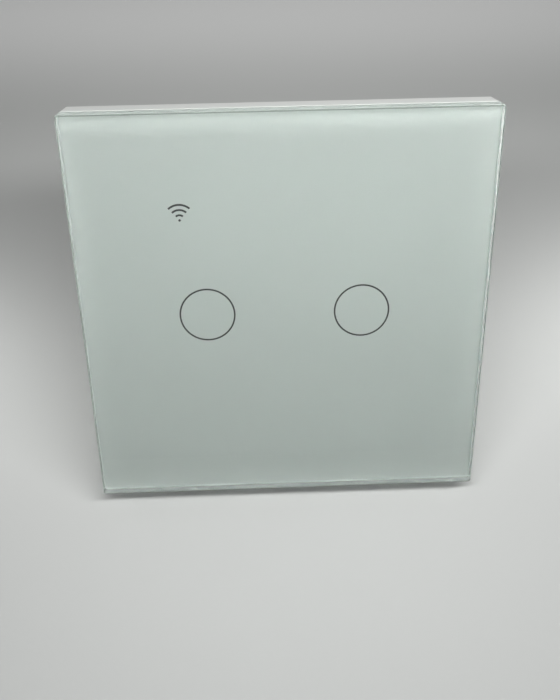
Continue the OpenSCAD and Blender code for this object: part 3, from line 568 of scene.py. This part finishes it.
# %% Mould the rear box
BROAD_EDGE = 0.2 * MM
finish("box_plastic", (0.45, 0.6), scale=2400, tint=0.03, bump=0.12)
soft_copy("rear_box", "wall_box", BROAD_EDGE)

# %% [markdown]
# ## Screws
# A screw is turned round, so each ring of its surface can be grown from the last. The top starts as a
# cross of twelve corners. It is cut into 36 edges, bridged to a circle of 36, and pushed down to make the
# recess. Then the outer circle is extruded ring by ring: over the round of the pan head, under it, and
# down the shank, where the radius swings with the angle and the height, and that swing is the thread.

# %% Places in front of and behind a board
def facing_front(x, y, z):
    """A place whose own Z points to the front of the switch."""
    return Matrix.Translation((x, y, z)) @ Matrix.Rotation(pi / 2, 4, "X")


def facing_rear(x, y, z):
    """A place whose own Z points to the rear of the switch."""
    return Matrix.Translation((x, y, z)) @ Matrix.Rotation(-pi / 2, 4, "X")


def verts_in(geometry):
    """The corners among the things that an operator made."""
    return [g for g in geometry if isinstance(g, bmesh.types.BMVert)]


def spread(bm, places):
    """Copies the whole shape to each place."""
    shape = bm.verts[:] + bm.edges[:] + bm.faces[:]
    for place in places[1:]:
        made = bmesh.ops.duplicate(bm, geom=shape)["geom"]
        bmesh.ops.transform(bm, matrix=place, verts=verts_in(made))
    bmesh.ops.transform(bm, matrix=places[0], verts=verts_in(shape))


print("front is along", [round(v) for v in facing_front(0, 0, 0) @ Vector((0, 0, 1))])

# %% Grow a turned shape ring by ring
RECESS_TAPER = 0.75


def extrude_ring(bm, ring):
    """Extrudes a ring of edges, and returns the new corners and the new ring."""
    made = bmesh.ops.extrude_edge_only(bm, edges=ring)["geom"]
    verts = verts_in(made)
    fresh = set(verts)
    return verts, [e for e in edges_in(made) if fresh.issuperset(e.verts)]


def grow(bm, ring, radius, height):
    """Extrudes a ring to a height and a radius. The radius may be a function of the angle."""
    verts, ring = extrude_ring(bm, ring)
    for vert in verts:
        angle = atan2(vert.co.y, vert.co.x)
        reach = radius(angle) if callable(radius) else radius
        vert.co = (reach * cos(angle), reach * sin(angle), height)
    return ring


def crossed_top(bm, radius, arm, arm_width, depth):
    """A round flat top at height 0 with a cross sunk into it. Returns its outer ring."""
    quarter = [Vector(p) for p in ((arm, -arm_width, 0), (arm, arm_width, 0), (arm_width, arm_width, 0))]
    verts = []
    for i in range(4):
        turn = Matrix.Rotation(i * pi / 2, 3, "Z")
        verts += [bm.verts.new(turn @ corner) for corner in quarter]
    for i in range(len(verts)):
        bm.edges.new((verts[i - 1], verts[i]))
    bmesh.ops.subdivide_edges(bm, edges=bm.edges[:], cuts=2)
    cross = bm.edges[:]
    circle = set(bmesh.ops.create_circle(bm, segments=len(cross), radius=radius)["verts"])
    ring = [e for e in bm.edges if circle.issuperset(e.verts)]
    bmesh.ops.bridge_loops(bm, edges=cross + ring)
    low, low_ring = extrude_ring(bm, cross)
    bmesh.ops.scale(bm, vec=(RECESS_TAPER, RECESS_TAPER, 1), verts=low)
    bmesh.ops.translate(bm, vec=(0, 0, -depth), verts=low)
    bmesh.ops.edgeloop_fill(bm, edges=low_ring)
    return ring


print("a recess narrows to", RECESS_TAPER, "of its width")

# %% [markdown]
# Most measures of a screw are shares, so that one function makes every size. The cross, the flat top and
# the underside are shares of the head's radius, the dome and the skirt of its height, the thread's depth
# of its pitch, and the tip of the shank's radius.

# %% Turn a screw
HEAD_CROSS, HEAD_FLAT, HEAD_UNDERSIDE = 0.66, 0.72, 0.95
HEAD_DOME, HEAD_SKIRT = 0.4, 0.93
DOME_STEPS = 4
THREAD_DEPTH = 0.3
RINGS_A_TURN = 6
TIP = 0.6


def thread_radius(shank_radius, pitch, height, angle):
    """The radius of a threaded shank at a height and an angle."""
    swing = abs(2 * ((height / pitch + angle / tau) % 1) - 1)
    return shank_radius - THREAD_DEPTH * pitch * swing


def cross_screw(head_radius, head_height, shank_radius, shank, pitch):
    """A pan-head screw with a cross recess and a thread. Its head's top is at height 0."""
    bm = bmesh.new()
    arm = HEAD_CROSS * head_radius
    flat = HEAD_FLAT * head_radius
    ring = crossed_top(bm, flat, arm, arm_width=arm / 5, depth=arm / 2)
    for step in range(1, DOME_STEPS + 1):
        swing = step / DOME_STEPS * pi / 2
        reach = flat + (head_radius - flat) * sin(swing)
        ring = grow(bm, ring, reach, -HEAD_DOME * head_height * (1 - cos(swing)))
    ring = grow(bm, ring, head_radius, -HEAD_SKIRT * head_height)
    ring = grow(bm, ring, HEAD_UNDERSIDE * head_radius, -head_height)
    ring = grow(bm, ring, shank_radius, -head_height)
    rings = int(shank / pitch * RINGS_A_TURN)
    for i in range(1, rings + 1):
        height = -shank * i / rings
        ring = grow(bm, ring, lambda angle: thread_radius(shank_radius, pitch, height, angle),
                    height - head_height)
    ring = grow(bm, ring, TIP * shank_radius, -head_height - shank)
    bmesh.ops.edgeloop_fill(bm, edges=ring)
    bmesh.ops.recalc_face_normals(bm, faces=bm.faces)
    return bm


print("a turn of thread has", RINGS_A_TURN, "rings")

# %% Drive the box screws
BOX_HEAD_RADIUS = 2.2 * MM
BOX_HEAD = 1.5 * MM
BOX_SHANK_RADIUS = 1.25 * MM
BOX_PITCH = 1.0 * MM
finish("zinc_steel", (0.38, 0.55), metallic=1.0, scale=1800, tint=0.08, bump=0.05)
low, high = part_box("box_screws")
screw_x = high.x - BOX_HEAD_RADIUS
screw_z = high.z - BOX_HEAD_RADIUS
bm = cross_screw(BOX_HEAD_RADIUS, BOX_HEAD, BOX_SHANK_RADIUS, high.y - low.y - BOX_HEAD, BOX_PITCH)
spread(bm, [facing_rear(x, high.y, z) for x in (-screw_x, screw_x) for z in (-screw_z, screw_z)])
finish_piece(bm, "box_screw_set", "base", ["zinc_steel"], "box_screws")

# %% [markdown]
# ## Light guides
# Behind each ring mark stands a short tube of milky plastic. It carries the light of four small lamps to
# the glass, so that the mark glows. A round pipe does the same for the signal mark. Milky plastic
# scatters light under its surface, so the finish has some subsurface.

# %% Mould the light guides
finish("milky_plastic", (0.25, 0.35), scale=1500, tint=0.02, bump=0.03, Subsurface_Weight=0.3,
       Subsurface_Scale=1 * MM)
for side in ("left", "right"):
    soft_copy("light_ring_" + side, "ring_guide_" + side, FINE_EDGE)
soft_copy("signal_light_pipe", "signal_guide", FINE_EDGE)

# %% [markdown]
# ## Touch springs
# Inside each light guide a gilt spring stands on the touch board and reaches up to the print on the
# glass, to sense a finger through it. The wire is a small circle that is pulled up for the foot, spun
# over to lie flat, and spun around the guide's axis with a little rise at each step, which makes the
# helix. The upper end repeats the foot upside down.

# %% Wind the springs
SPRING_RADIUS = 3.2 * MM
SPRING_TURNS = 2.5
STEPS_A_TURN = 40
WIRE_RADIUS = 0.25 * MM
WIRE_SIDES = 12
WIRE_BEND = 0.5 * MM
BEND_STEPS = 6
finish("gilt_spring", (0.18, 0.3), metallic=1.0, scale=3000, tint=0.06, bump=0.03, stretch=(1, 4, 1))


def rise(bm, ring, height):
    """Extrudes a ring straight up."""
    verts, ring = extrude_ring(bm, ring)
    bmesh.ops.translate(bm, vec=(0, 0, height), verts=verts)
    return ring


def spin_wire(bm, ring, centre, axis, angle, steps, climb=0):
    """Spins a ring of wire around an axis, with a climb along Z, and returns its last ring."""
    spun = bmesh.ops.spin(bm, geom=ring, cent=centre, axis=axis, angle=angle, steps=steps,
                          dvec=(0, 0, climb / steps))
    return edges_in(spun["geom_last"])


def touch_spring(length):
    """A spring that stands on height 0."""
    bm = bmesh.new()
    foot = 2 * WIRE_RADIUS
    start = Matrix.Translation((SPRING_RADIUS, 0, 0))
    bmesh.ops.create_circle(bm, segments=WIRE_SIDES, radius=WIRE_RADIUS, matrix=start)
    first = bm.edges[:]
    ring = rise(bm, first, foot)
    ring = spin_wire(bm, ring, (SPRING_RADIUS, WIRE_BEND, foot), (-1, 0, 0), pi / 2, BEND_STEPS)
    climb = length - 2 * foot - 2 * WIRE_BEND
    steps = int(SPRING_TURNS * STEPS_A_TURN)
    ring = spin_wire(bm, ring, (0, 0, 0), (0, 0, 1), SPRING_TURNS * tau, steps, climb)
    end = sum((v.co for e in ring for v in e.verts), Vector()) / (2 * len(ring))
    outward = Vector((end.x, end.y, 0)).normalized()
    ring = spin_wire(bm, ring, end + Vector((0, 0, WIRE_BEND)), outward, pi / 2, BEND_STEPS)
    last = rise(bm, ring, foot)
    for loop in (first, last):
        bmesh.ops.edgeloop_fill(bm, edges=loop)
    bmesh.ops.remove_doubles(bm, verts=bm.verts, dist=MERGE_REACH)
    bmesh.ops.recalc_face_normals(bm, faces=bm.faces)
    return bm


for side, x in (("left", -RING_X), ("right", RING_X)):
    low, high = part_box("touch_spring_" + side)
    bm = touch_spring(high.y - low.y)
    bmesh.ops.transform(bm, matrix=facing_front(x, high.y, RING_Z), verts=bm.verts)
    finish_piece(bm, "sensing_spring_" + side, "base", ["gilt_spring"], "touch_spring_" + side, sharp=60)

# %% [markdown]
# ## Touch board
# A green board with its chip, its lamps and its small parts. The lacquer lets the copper tracks show as
# slightly paler lines, which a brick pattern gives. The lamps get a sunk window: each front face is inset
# and pushed in.

# %% Lacquer the touch board and set its lamps
BOARD_EDGE = 0.06 * MM
WINDOW_RIM = 0.15 * MM
WINDOW_DEPTH = 0.12 * MM
FACES_FRONT = -0.9
finish("green_board", (0.3, 0.42), pattern=tracks, scale=280, tint=0.3, bump=0.08)
finish("light_resin", (0.2, 0.3), scale=1500, tint=0.04, bump=0.02)
soft_copy("touch_board", "touch_circuit", BOARD_EDGE)
bm = cad_shape("indicator_lights")
windows = [face for face in bm.faces if face.normal.y < FACES_FRONT]
bmesh.ops.inset_individual(bm, faces=windows, thickness=WINDOW_RIM, depth=-WINDOW_DEPTH)
soften(bm, width=0.05 * MM, segments=1)
finish_piece(bm, "lamp_set", "base", ["light_resin"], "indicator_lights")

# %% [markdown]
# ## Chips and their leads
# A chip is a block of black resin with bent leads along two sides. One lead starts as a chain of four
# points in profile, is extruded to its width, and gets its thickness from solidify. Then it is copied
# along both sides.

# %% Press the chips
LEAD_WIDTH = 0.42 * MM
LEAD_SHEET = 0.15 * MM
LEAD_ROOT = 0.2 * MM
CHIP_LEADS = 8
CHIP_PITCH = 1.2 * MM
CHIP_FOOT = 1.0 * MM
finish("chip_resin", (0.5, 0.65), scale=5000, tint=0.1, bump=0.08)
finish("tin_plate", (0.25, 0.42), metallic=1.0, scale=900, tint=0.07, bump=0.04)


def bent_leads(size, height, foot, places):
    """Leads that leave a body at half its height and reach a foot's length out along Y."""
    bm = bmesh.new()
    profile = [(-LEAD_ROOT, height / 2), (foot / 4, height / 2), (foot / 2, LEAD_SHEET), (foot, LEAD_SHEET)]
    verts = [bm.verts.new((-LEAD_WIDTH / 2, size / 2 + out, up)) for out, up in profile]
    edges = [bm.edges.new(pair) for pair in zip(verts, verts[1:])]
    made = bmesh.ops.extrude_edge_only(bm, edges=edges)["geom"]
    bmesh.ops.translate(bm, vec=(LEAD_WIDTH, 0, 0), verts=verts_in(made))
    bmesh.ops.recalc_face_normals(bm, faces=bm.faces)
    bmesh.ops.solidify(bm, geom=bm.faces[:], thickness=LEAD_SHEET)
    bmesh.ops.recalc_face_normals(bm, faces=bm.faces)
    spread(bm, places)
    return bm


def both_sides(place, count, pitch):
    """Places of leads along two sides of a chip."""
    sides = [place @ Matrix.Rotation(turn, 4, "Z") for turn in (0, pi)]
    along = [(i - (count - 1) / 2) * pitch for i in range(count)]
    return [side @ Matrix.Translation((x, 0, 0)) for side in sides for x in along]


soft_copy("touch_chip", "touch_chip_body", width=0.15 * MM)
low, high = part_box("touch_chip")
chip_place = facing_front(0, high.y, (low.z + high.z) / 2)
chip_leads = both_sides(chip_place, CHIP_LEADS, CHIP_PITCH)
bm = bent_leads(high.z - low.z, high.y - low.y, CHIP_FOOT, chip_leads)
finish_piece(bm, "touch_chip_leads", "base", ["tin_plate"])

# %% [markdown]
# ## Small parts and solder
# Around the chip sit resistors and capacitors no longer than 1.6 mm: a bar cut in three with two
# bisecting planes, whose ends are tin. Each row of the list below is a place across and up in
# millimetres, and a turn in degrees. Where a pin passes through a board, solder climbs it in a hollow
# cone, which is a short profile spun around the pin.

# %% Place the small parts
PART_LENGTH, PART_WIDTH, PART_HEIGHT = 1.6 * MM, 0.8 * MM, 0.5 * MM
END_START = 0.28 * PART_LENGTH
SMALL_PARTS = [
    (-7.5, -11.0, 0), (-4.5, -11.0, 0), (-1.5, -11.0, 0), (1.5, -11.0, 0), (4.5, -11.0, 0), (7.5, -11.0, 0),
    (-9.0, -16.4, 90), (9.0, -16.4, 90), (-11.5, -16.4, 90), (11.5, -16.4, 90),
    (-16.5, -10.5, 0), (16.5, -10.5, 0), (-16.5, 11.0, 0), (16.5, 11.0, 0),
    (-3.0, 18.5, 90), (0, 18.5, 90), (3.0, 18.5, 90),
]
board_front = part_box("touch_board")[0].y
bm = bmesh.new()
block(bm, (-PART_LENGTH / 2, -PART_WIDTH / 2, 0), (PART_LENGTH / 2, PART_WIDTH / 2, PART_HEIGHT))
soften(bm, BOARD_EDGE)
for cut in (-END_START, END_START):
    whole = bm.verts[:] + bm.edges[:] + bm.faces[:]
    bmesh.ops.bisect_plane(bm, geom=whole, plane_co=(cut, 0, 0), plane_no=(1, 0, 0))
for face in bm.faces:
    face.material_index = int(abs(face.calc_center_median().x) > END_START)
part_places = [facing_front(x * MM, board_front, z * MM) @ Matrix.Rotation(radians(turn), 4, "Z")
               for x, z, turn in SMALL_PARTS]
spread(bm, part_places)
finish_piece(bm, "small_parts", "base", ["chip_resin", "tin_plate"])

# %% Solder the link pins
PIN_COUNT = 6
PIN_PITCH = 2.54 * MM
PIN_RADIUS = 0.32 * MM
SOLDER_CONE = [(0.85 * MM, 0), (0.55 * MM, 0.15 * MM), (0.4 * MM, 0.45 * MM), (PIN_RADIUS, 0.6 * MM)]


def lathe(profile, steps=40):
    """Spins a profile of (radius, height) pairs around Z."""
    bm = bmesh.new()
    verts = [bm.verts.new((radius, 0, height)) for radius, height in profile]
    edges = [bm.edges.new(pair) for pair in zip(verts, verts[1:])]
    bmesh.ops.spin(bm, geom=verts + edges, cent=(0, 0, 0), axis=(0, 0, 1), angle=tau, steps=steps,
                   use_merge=True)
    bmesh.ops.remove_doubles(bm, verts=bm.verts, dist=MERGE_REACH)
    bmesh.ops.recalc_face_normals(bm, faces=bm.faces)
    return bm


finish("black_plastic", (0.35, 0.5), scale=3500, tint=0.1, bump=0.08)
finish("gilt_pins", (0.2, 0.32), metallic=1.0, scale=2500, tint=0.05, bump=0.03)
soft_copy("board_header", "link_header", FINE_EDGE)
soft_copy("header_pins", "link_pins", width=0.1 * MM)
low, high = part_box("header_pins")
pin_z = (low.z + high.z) / 2
pin_x = [low.x + PIN_RADIUS + i * PIN_PITCH for i in range(PIN_COUNT)]
power_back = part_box("power_board")[1].y
bm = lathe([(PIN_RADIUS, 0)] + SOLDER_CONE + [(PIN_RADIUS, 0)], steps=20)
front_places = [facing_front(x, board_front, pin_z) for x in pin_x]
rear_places = [facing_rear(x, power_back, pin_z) for x in pin_x]
spread(bm, front_places + rear_places)
finish_piece(bm, "pin_solder", "base", ["tin_plate"])

# %% [markdown]
# ## Radio module
# The signal mark stands for a radio: a small blue board on the rear of the touch board, with a tin can
# over its circuits and a copper aerial that runs to and fro. The aerial is a grid: every second row stays
# whole, and between the rows one end cell stays, alternately left and right. The rest is deleted, and the
# remainder gets a thickness.

# %% Build the radio module
AERIAL_ROWS, AERIAL_COLUMNS = 13, 6
AERIAL_ACROSS, AERIAL_UP = 0.36, 0.4
AERIAL_SHEET = 0.04 * MM
finish("blue_board", (0.3, 0.42), pattern=tracks, scale=420, tint=0.3, bump=0.08)
finish("copper", (0.25, 0.4), metallic=1.0, scale=1500, tint=0.08, bump=0.04)
soft_copy("radio_board", "radio_circuit", BOARD_EDGE)
soft_copy("radio_shield", "radio_can", width=0.3 * MM, segments=3)
low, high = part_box("radio_board")
can_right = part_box("radio_shield")[1].x
aerial_place = facing_rear((can_right + high.x) / 2, high.y, (low.z + high.z) / 2)
aerial_size = Matrix.Diagonal((AERIAL_ACROSS * (high.x - can_right), AERIAL_UP * (high.z - low.z), 1, 1))
bm = bmesh.new()
bmesh.ops.create_grid(bm, x_segments=AERIAL_COLUMNS, y_segments=AERIAL_ROWS, size=1)
unused = []
for face in bm.faces:
    middle = face.calc_center_median()
    row = int((middle.y + 1) / 2 * AERIAL_ROWS)
    column = int((middle.x + 1) / 2 * AERIAL_COLUMNS)
    end = AERIAL_COLUMNS - 1 if row % 4 == 1 else 0
    if row % 2 and column != end:
        unused.append(face)
bmesh.ops.delete(bm, geom=unused, context="FACES")
made = bmesh.ops.extrude_face_region(bm, geom=bm.faces[:])["geom"]
bmesh.ops.translate(bm, vec=(0, 0, AERIAL_SHEET), verts=verts_in(made))
bmesh.ops.transform(bm, matrix=aerial_place @ aerial_size, verts=bm.verts)
bmesh.ops.recalc_face_normals(bm, faces=bm.faces)
finish_piece(bm, "radio_aerial", "base", ["copper"])

# %% [markdown]
# ## Power board and transformer
# The second board carries the supply and the relays. The small transformer is a black ferrite core,
# pressed from powder, around a coil wrapped in yellow tape, whose turns show as fine steps.

# %% Build the power board and the transformer
finish("ferrite", (0.55, 0.75), pattern=cells, scale=3000, tint=0.2, bump=0.1)
finish("coil_tape", (0.2, 0.35), pattern=windings, scale=1.1 * MM, tint=0.1, bump=0.2)
soft_copy("power_board", "power_circuit", BOARD_EDGE)
soft_copy("transformer_core", "ferrite_core", BROAD_EDGE)
soft_copy("transformer_coil", "taped_coil", FINE_EDGE)

# %% [markdown]
# ## Capacitors
# An electrolytic capacitor is an aluminium can in a printed sleeve, with a groove near its foot and a
# cross scored in its top, where it would open safely. It is grown from a crossed top, as the screws were.
# The pale stripe that marks one side is a second sleeve colour on the faces within a small angle. The
# film capacitor is a filled plastic case.

# %% Roll the capacitor cans
STRIPE_HALF_ANGLE = radians(25)
STRIPE_REACH = 0.9
TOP_FLAT, SCORE_LENGTH, SCORE_WIDTH = 0.78, 0.55, 0.03
SCORE_DEPTH = 0.12 * MM
ROLLED_RIM = ((0.8, 0.25), (0.84, 0), (0.92, 0.03), (0.98, 0.25), (1, 0.55))
CAN_FOOT = 1.0 * MM
CAN_GROOVE = 0.4 * MM
CAN_ROUND = 0.2 * MM
SLEEVE, BARE_TOP, STRIPE = range(3)
finish("capacitor_sleeve", (0.22, 0.35), scale=1200, tint=0.1, bump=0.03)
finish("film_case", (0.28, 0.4), scale=2000, tint=0.05, bump=0.05)


def capacitor_can(radius, height):
    """A can with its top at height 0. The rim gives shares of the radius and depths in millimetres."""
    bm = bmesh.new()
    ring = crossed_top(bm, TOP_FLAT * radius, SCORE_LENGTH * radius, SCORE_WIDTH * radius, SCORE_DEPTH)
    top = bm.faces[:]
    for reach, depth in ROLLED_RIM:
        ring = grow(bm, ring, reach * radius, -depth * MM)
    foot = CAN_FOOT - height
    waist = radius - CAN_GROOVE
    for reach, up in ((radius, foot + 3 * CAN_GROOVE), (waist, foot + 2 * CAN_GROOVE),
                      (waist, foot + CAN_GROOVE), (radius, foot), (radius, CAN_ROUND - height),
                      (radius - CAN_ROUND, -height)):
        ring = grow(bm, ring, reach, up)
    bmesh.ops.edgeloop_fill(bm, edges=ring)
    bmesh.ops.recalc_face_normals(bm, faces=bm.faces)
    for face in bm.faces:
        x, y, _ = face.calc_center_median()
        marked = abs(atan2(y, x)) < STRIPE_HALF_ANGLE and hypot(x, y) > STRIPE_REACH * radius
        face.material_index = STRIPE if marked else SLEEVE
    for face in top:
        face.material_index = BARE_TOP
    return bm


for node, name in (("bulk_capacitor", "bulk_can"), ("output_capacitor", "output_can")):
    low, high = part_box(node)
    bm = capacitor_can((high.x - low.x) / 2, high.y - low.y)
    can_place = facing_rear((low.x + high.x) / 2, high.y, (low.z + high.z) / 2)
    bmesh.ops.transform(bm, matrix=can_place, verts=bm.verts)
    finish_piece(bm, name, "base", ["capacitor_sleeve", "tin_plate", "milky_plastic"], node)
soft_copy("suppression_capacitor", "film_block", width=0.5 * MM, segments=3)

# %% [markdown]
# ## Disc, resistor, rectifier and supply chip
# The surge disc is dipped in blue resin, which leaves a round rim: half an ellipse, spun around the
# disc's axis. The fusible resistor is a ceramic rod with thicker ends and dark bands, drawn as shares of
# its radius and length. The rectifier and the supply chip are resin blocks with leads, made as the touch
# chip was.

# %% Dip the surge disc
RIM_SHARE = 0.4
RIM_STEPS = 12
finish("disc_coat", (0.15, 0.28), scale=700, tint=0.06, bump=0.15)
low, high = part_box("surge_disc")
disc_radius = (high.z - low.z) / 2
disc_half = (high.x - low.x) / 2
rim = RIM_SHARE * disc_radius
swings = [pi * i / RIM_STEPS for i in range(RIM_STEPS + 1)]
profile = [(disc_radius - rim + rim * sin(swing), -disc_half * cos(swing)) for swing in swings]
bm = lathe([(0, -disc_half)] + profile + [(0, disc_half)], steps=48)
disc_place = Matrix.Translation(((low.x + high.x) / 2, high.y - disc_radius, (low.z + high.z) / 2))
bmesh.ops.transform(bm, matrix=disc_place @ Matrix.Rotation(pi / 2, 4, "Y"), verts=bm.verts)
finish_piece(bm, "surge_disc_body", "base", ["disc_coat"], "surge_disc", sharp=40)

# %% Band the resistor
BANDS = [(0.28, 0.36), (0.44, 0.52), (0.6, 0.68)]
WAIST = 0.86
LOW_CAP = [(0, 0), (0.8, 0), (0.97, 0.02), (1, 0.05), (1, 0.16), (WAIST, 0.24)]
HIGH_CAP = [(WAIST, 0.76), (1, 0.84), (1, 0.95), (0.97, 0.98), (0.8, 1), (0, 1)]
finish("resistor_coat", (0.35, 0.5), scale=1500, tint=0.06, bump=0.06)
low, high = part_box("fuse_resistor")
rod_radius = (high.x - low.x) / 2
rod_length = high.y - low.y
profile = LOW_CAP + [(WAIST, share) for band in BANDS for share in band] + HIGH_CAP
bm = lathe([(reach * rod_radius, share * rod_length) for reach, share in profile], steps=36)
for face in bm.faces:
    share = face.calc_center_median().z / rod_length
    face.material_index = int(any(start < share < end for start, end in BANDS))
rod_place = facing_rear((low.x + high.x) / 2, low.y, (low.z + high.z) / 2)
bmesh.ops.transform(bm, matrix=rod_place, verts=bm.verts)
finish_piece(bm, "fuse_rod", "base", ["resistor_coat", "black_plastic"], "fuse_resistor")

# %% Set the rectifier and the supply chip
BLOCK_FOOT = 0.6 * MM
RECTIFIER_PITCH = 3.6 * MM
SUPPLY_PITCH = 2.1 * MM
for node, name, count, pitch in (("bridge_rectifier", "rectifier_block", 2, RECTIFIER_PITCH),
                                 ("supply_chip", "supply_block", 4, SUPPLY_PITCH)):
    soft_copy(node, name, width=0.25 * MM)
    low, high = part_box(node)
    middle = (low + high) / 2
    place = facing_rear(middle.x, low.y, middle.z) @ Matrix.Rotation(pi / 2, 4, "Z")
    bm = bent_leads(high.x - low.x, high.y - low.y, BLOCK_FOOT, both_sides(place, count, pitch))
    finish_piece(bm, name + "_leads", "base", ["tin_plate"])

# %% [markdown]
# ## Terminals
# Each wire goes into a brass cage. Turning the screw from the rear draws the cage towards the screw's
# head, and clamps the wire on a copper bar. The screws are the same kind as those of the box, with a
# finer thread, and each rides on its own body, because it turns.

# %% Build the terminals
TERMINAL_HEAD = 1.7 * MM
TERMINAL_SHANK_RADIUS = 1.5 * MM
TERMINAL_PITCH = 0.5 * MM
finish("terminal_plastic", (0.4, 0.55), scale=3000, tint=0.1, bump=0.08)
finish("clamp_brass", (0.22, 0.38), metallic=1.0, scale=1400, tint=0.08, bump=0.05, stretch=(1, 6, 1))
soft_copy("terminal_housing", "terminal_block", BROAD_EDGE)
soft_copy("terminal_bars", "terminal_bar_set", width=0.1 * MM)
for i in (1, 2, 3, 4):
    soft_copy(f"terminal_cage_{i}", f"wire_cage_{i}", FINE_EDGE)
    low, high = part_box(f"terminal_screw_{i}")
    shank = high.y - low.y - TERMINAL_HEAD
    bm = cross_screw((high.x - low.x) / 2, TERMINAL_HEAD, TERMINAL_SHANK_RADIUS, shank, TERMINAL_PITCH)
    screw_place = facing_rear((low.x + high.x) / 2, high.y, (low.z + high.z) / 2)
    bmesh.ops.transform(bm, matrix=screw_place, verts=bm.verts)
    finish_piece(bm, f"clamp_screw_{i}", f"screw_{i}", ["zinc_steel"], f"terminal_screw_{i}")

# %% [markdown]
# ## Relays
# Two relays switch the two lights. In each, a coil on an iron yoke draws an armature to its end, and a
# contact on a leaf meets a fixed one. The coil's wire shows as ridges, so its profile has a point for the
# top and the foot of each turn. The rest is pressed or moulded, and softened copies do it justice. Their
# list gives the width of each edge in millimetres.

# %% Build the relays
COIL_FLANGE = 0.8 * MM
COIL_BORE = 1.35 * MM
COIL_SINK = 0.5 * MM
WIRE_TURNS = 20
WIRE_GROOVE = 0.12 * MM
PRESSED = (("base", 0.12), ("case", 0.2), ("yoke", 0.1), ("armature", 0.08), ("fixed_contact", 0.05),
           ("moving_contact", 0.04))
finish("relay_plastic", (0.25, 0.38), scale=2500, tint=0.08, bump=0.05)
finish("relay_iron", (0.3, 0.45), metallic=1.0, scale=1600, tint=0.07, bump=0.05, stretch=(1, 5, 1))
finish("coil_wire", (0.25, 0.38), metallic=0.7, scale=1800, tint=0.12, bump=0.05)
finish("contact_metal", (0.2, 0.34), metallic=1.0, scale=1800, tint=0.07, bump=0.04)


def coil_profile(radius, length):
    """The outline of a wound coil between two flanges, as (radius, height) pairs."""
    wound = radius - COIL_SINK
    top = length - COIL_FLANGE
    pitch = (length - 2 * COIL_FLANGE) / WIRE_TURNS
    turns = []
    for i in range(1, 2 * WIRE_TURNS):
        groove = WIRE_GROOVE if i % 2 else 0
        turns.append((wound - groove, COIL_FLANGE + i * pitch / 2))
    foot_flange = [(COIL_BORE, 0), (radius, 0), (radius, COIL_FLANGE), (wound, COIL_FLANGE)]
    top_flange = [(wound, top), (radius, top), (radius, length), (COIL_BORE, length)]
    return foot_flange + turns + top_flange + [(COIL_BORE, 0)]


for side in ("left", "right"):
    for piece, width in PRESSED:
        soft_copy(f"relay_{piece}_{side}", f"{side}_relay_{piece}", width * MM)
    low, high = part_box("relay_coil_" + side)
    length = high.y - low.y
    bm = lathe(coil_profile((high.x - low.x) / 2, length))
    coil_place = facing_rear((low.x + high.x) / 2, low.y, (low.z + high.z) / 2)
    bmesh.ops.transform(bm, matrix=coil_place, verts=bm.verts)
    for face in bm.faces:
        height = face.calc_center_median().y - low.y
        face.material_index = int(not COIL_FLANGE < height < length - COIL_FLANGE)
    finish_piece(bm, side + "_relay_winding", "base", ["coil_wire", "black_plastic"], "relay_coil_" + side)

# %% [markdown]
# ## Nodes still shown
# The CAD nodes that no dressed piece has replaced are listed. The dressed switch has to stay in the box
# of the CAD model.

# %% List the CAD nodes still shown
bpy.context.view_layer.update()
shown = [name for name, node in frame["nodes"].items() if not node.hide_render]
print("CAD nodes still shown:", shown)
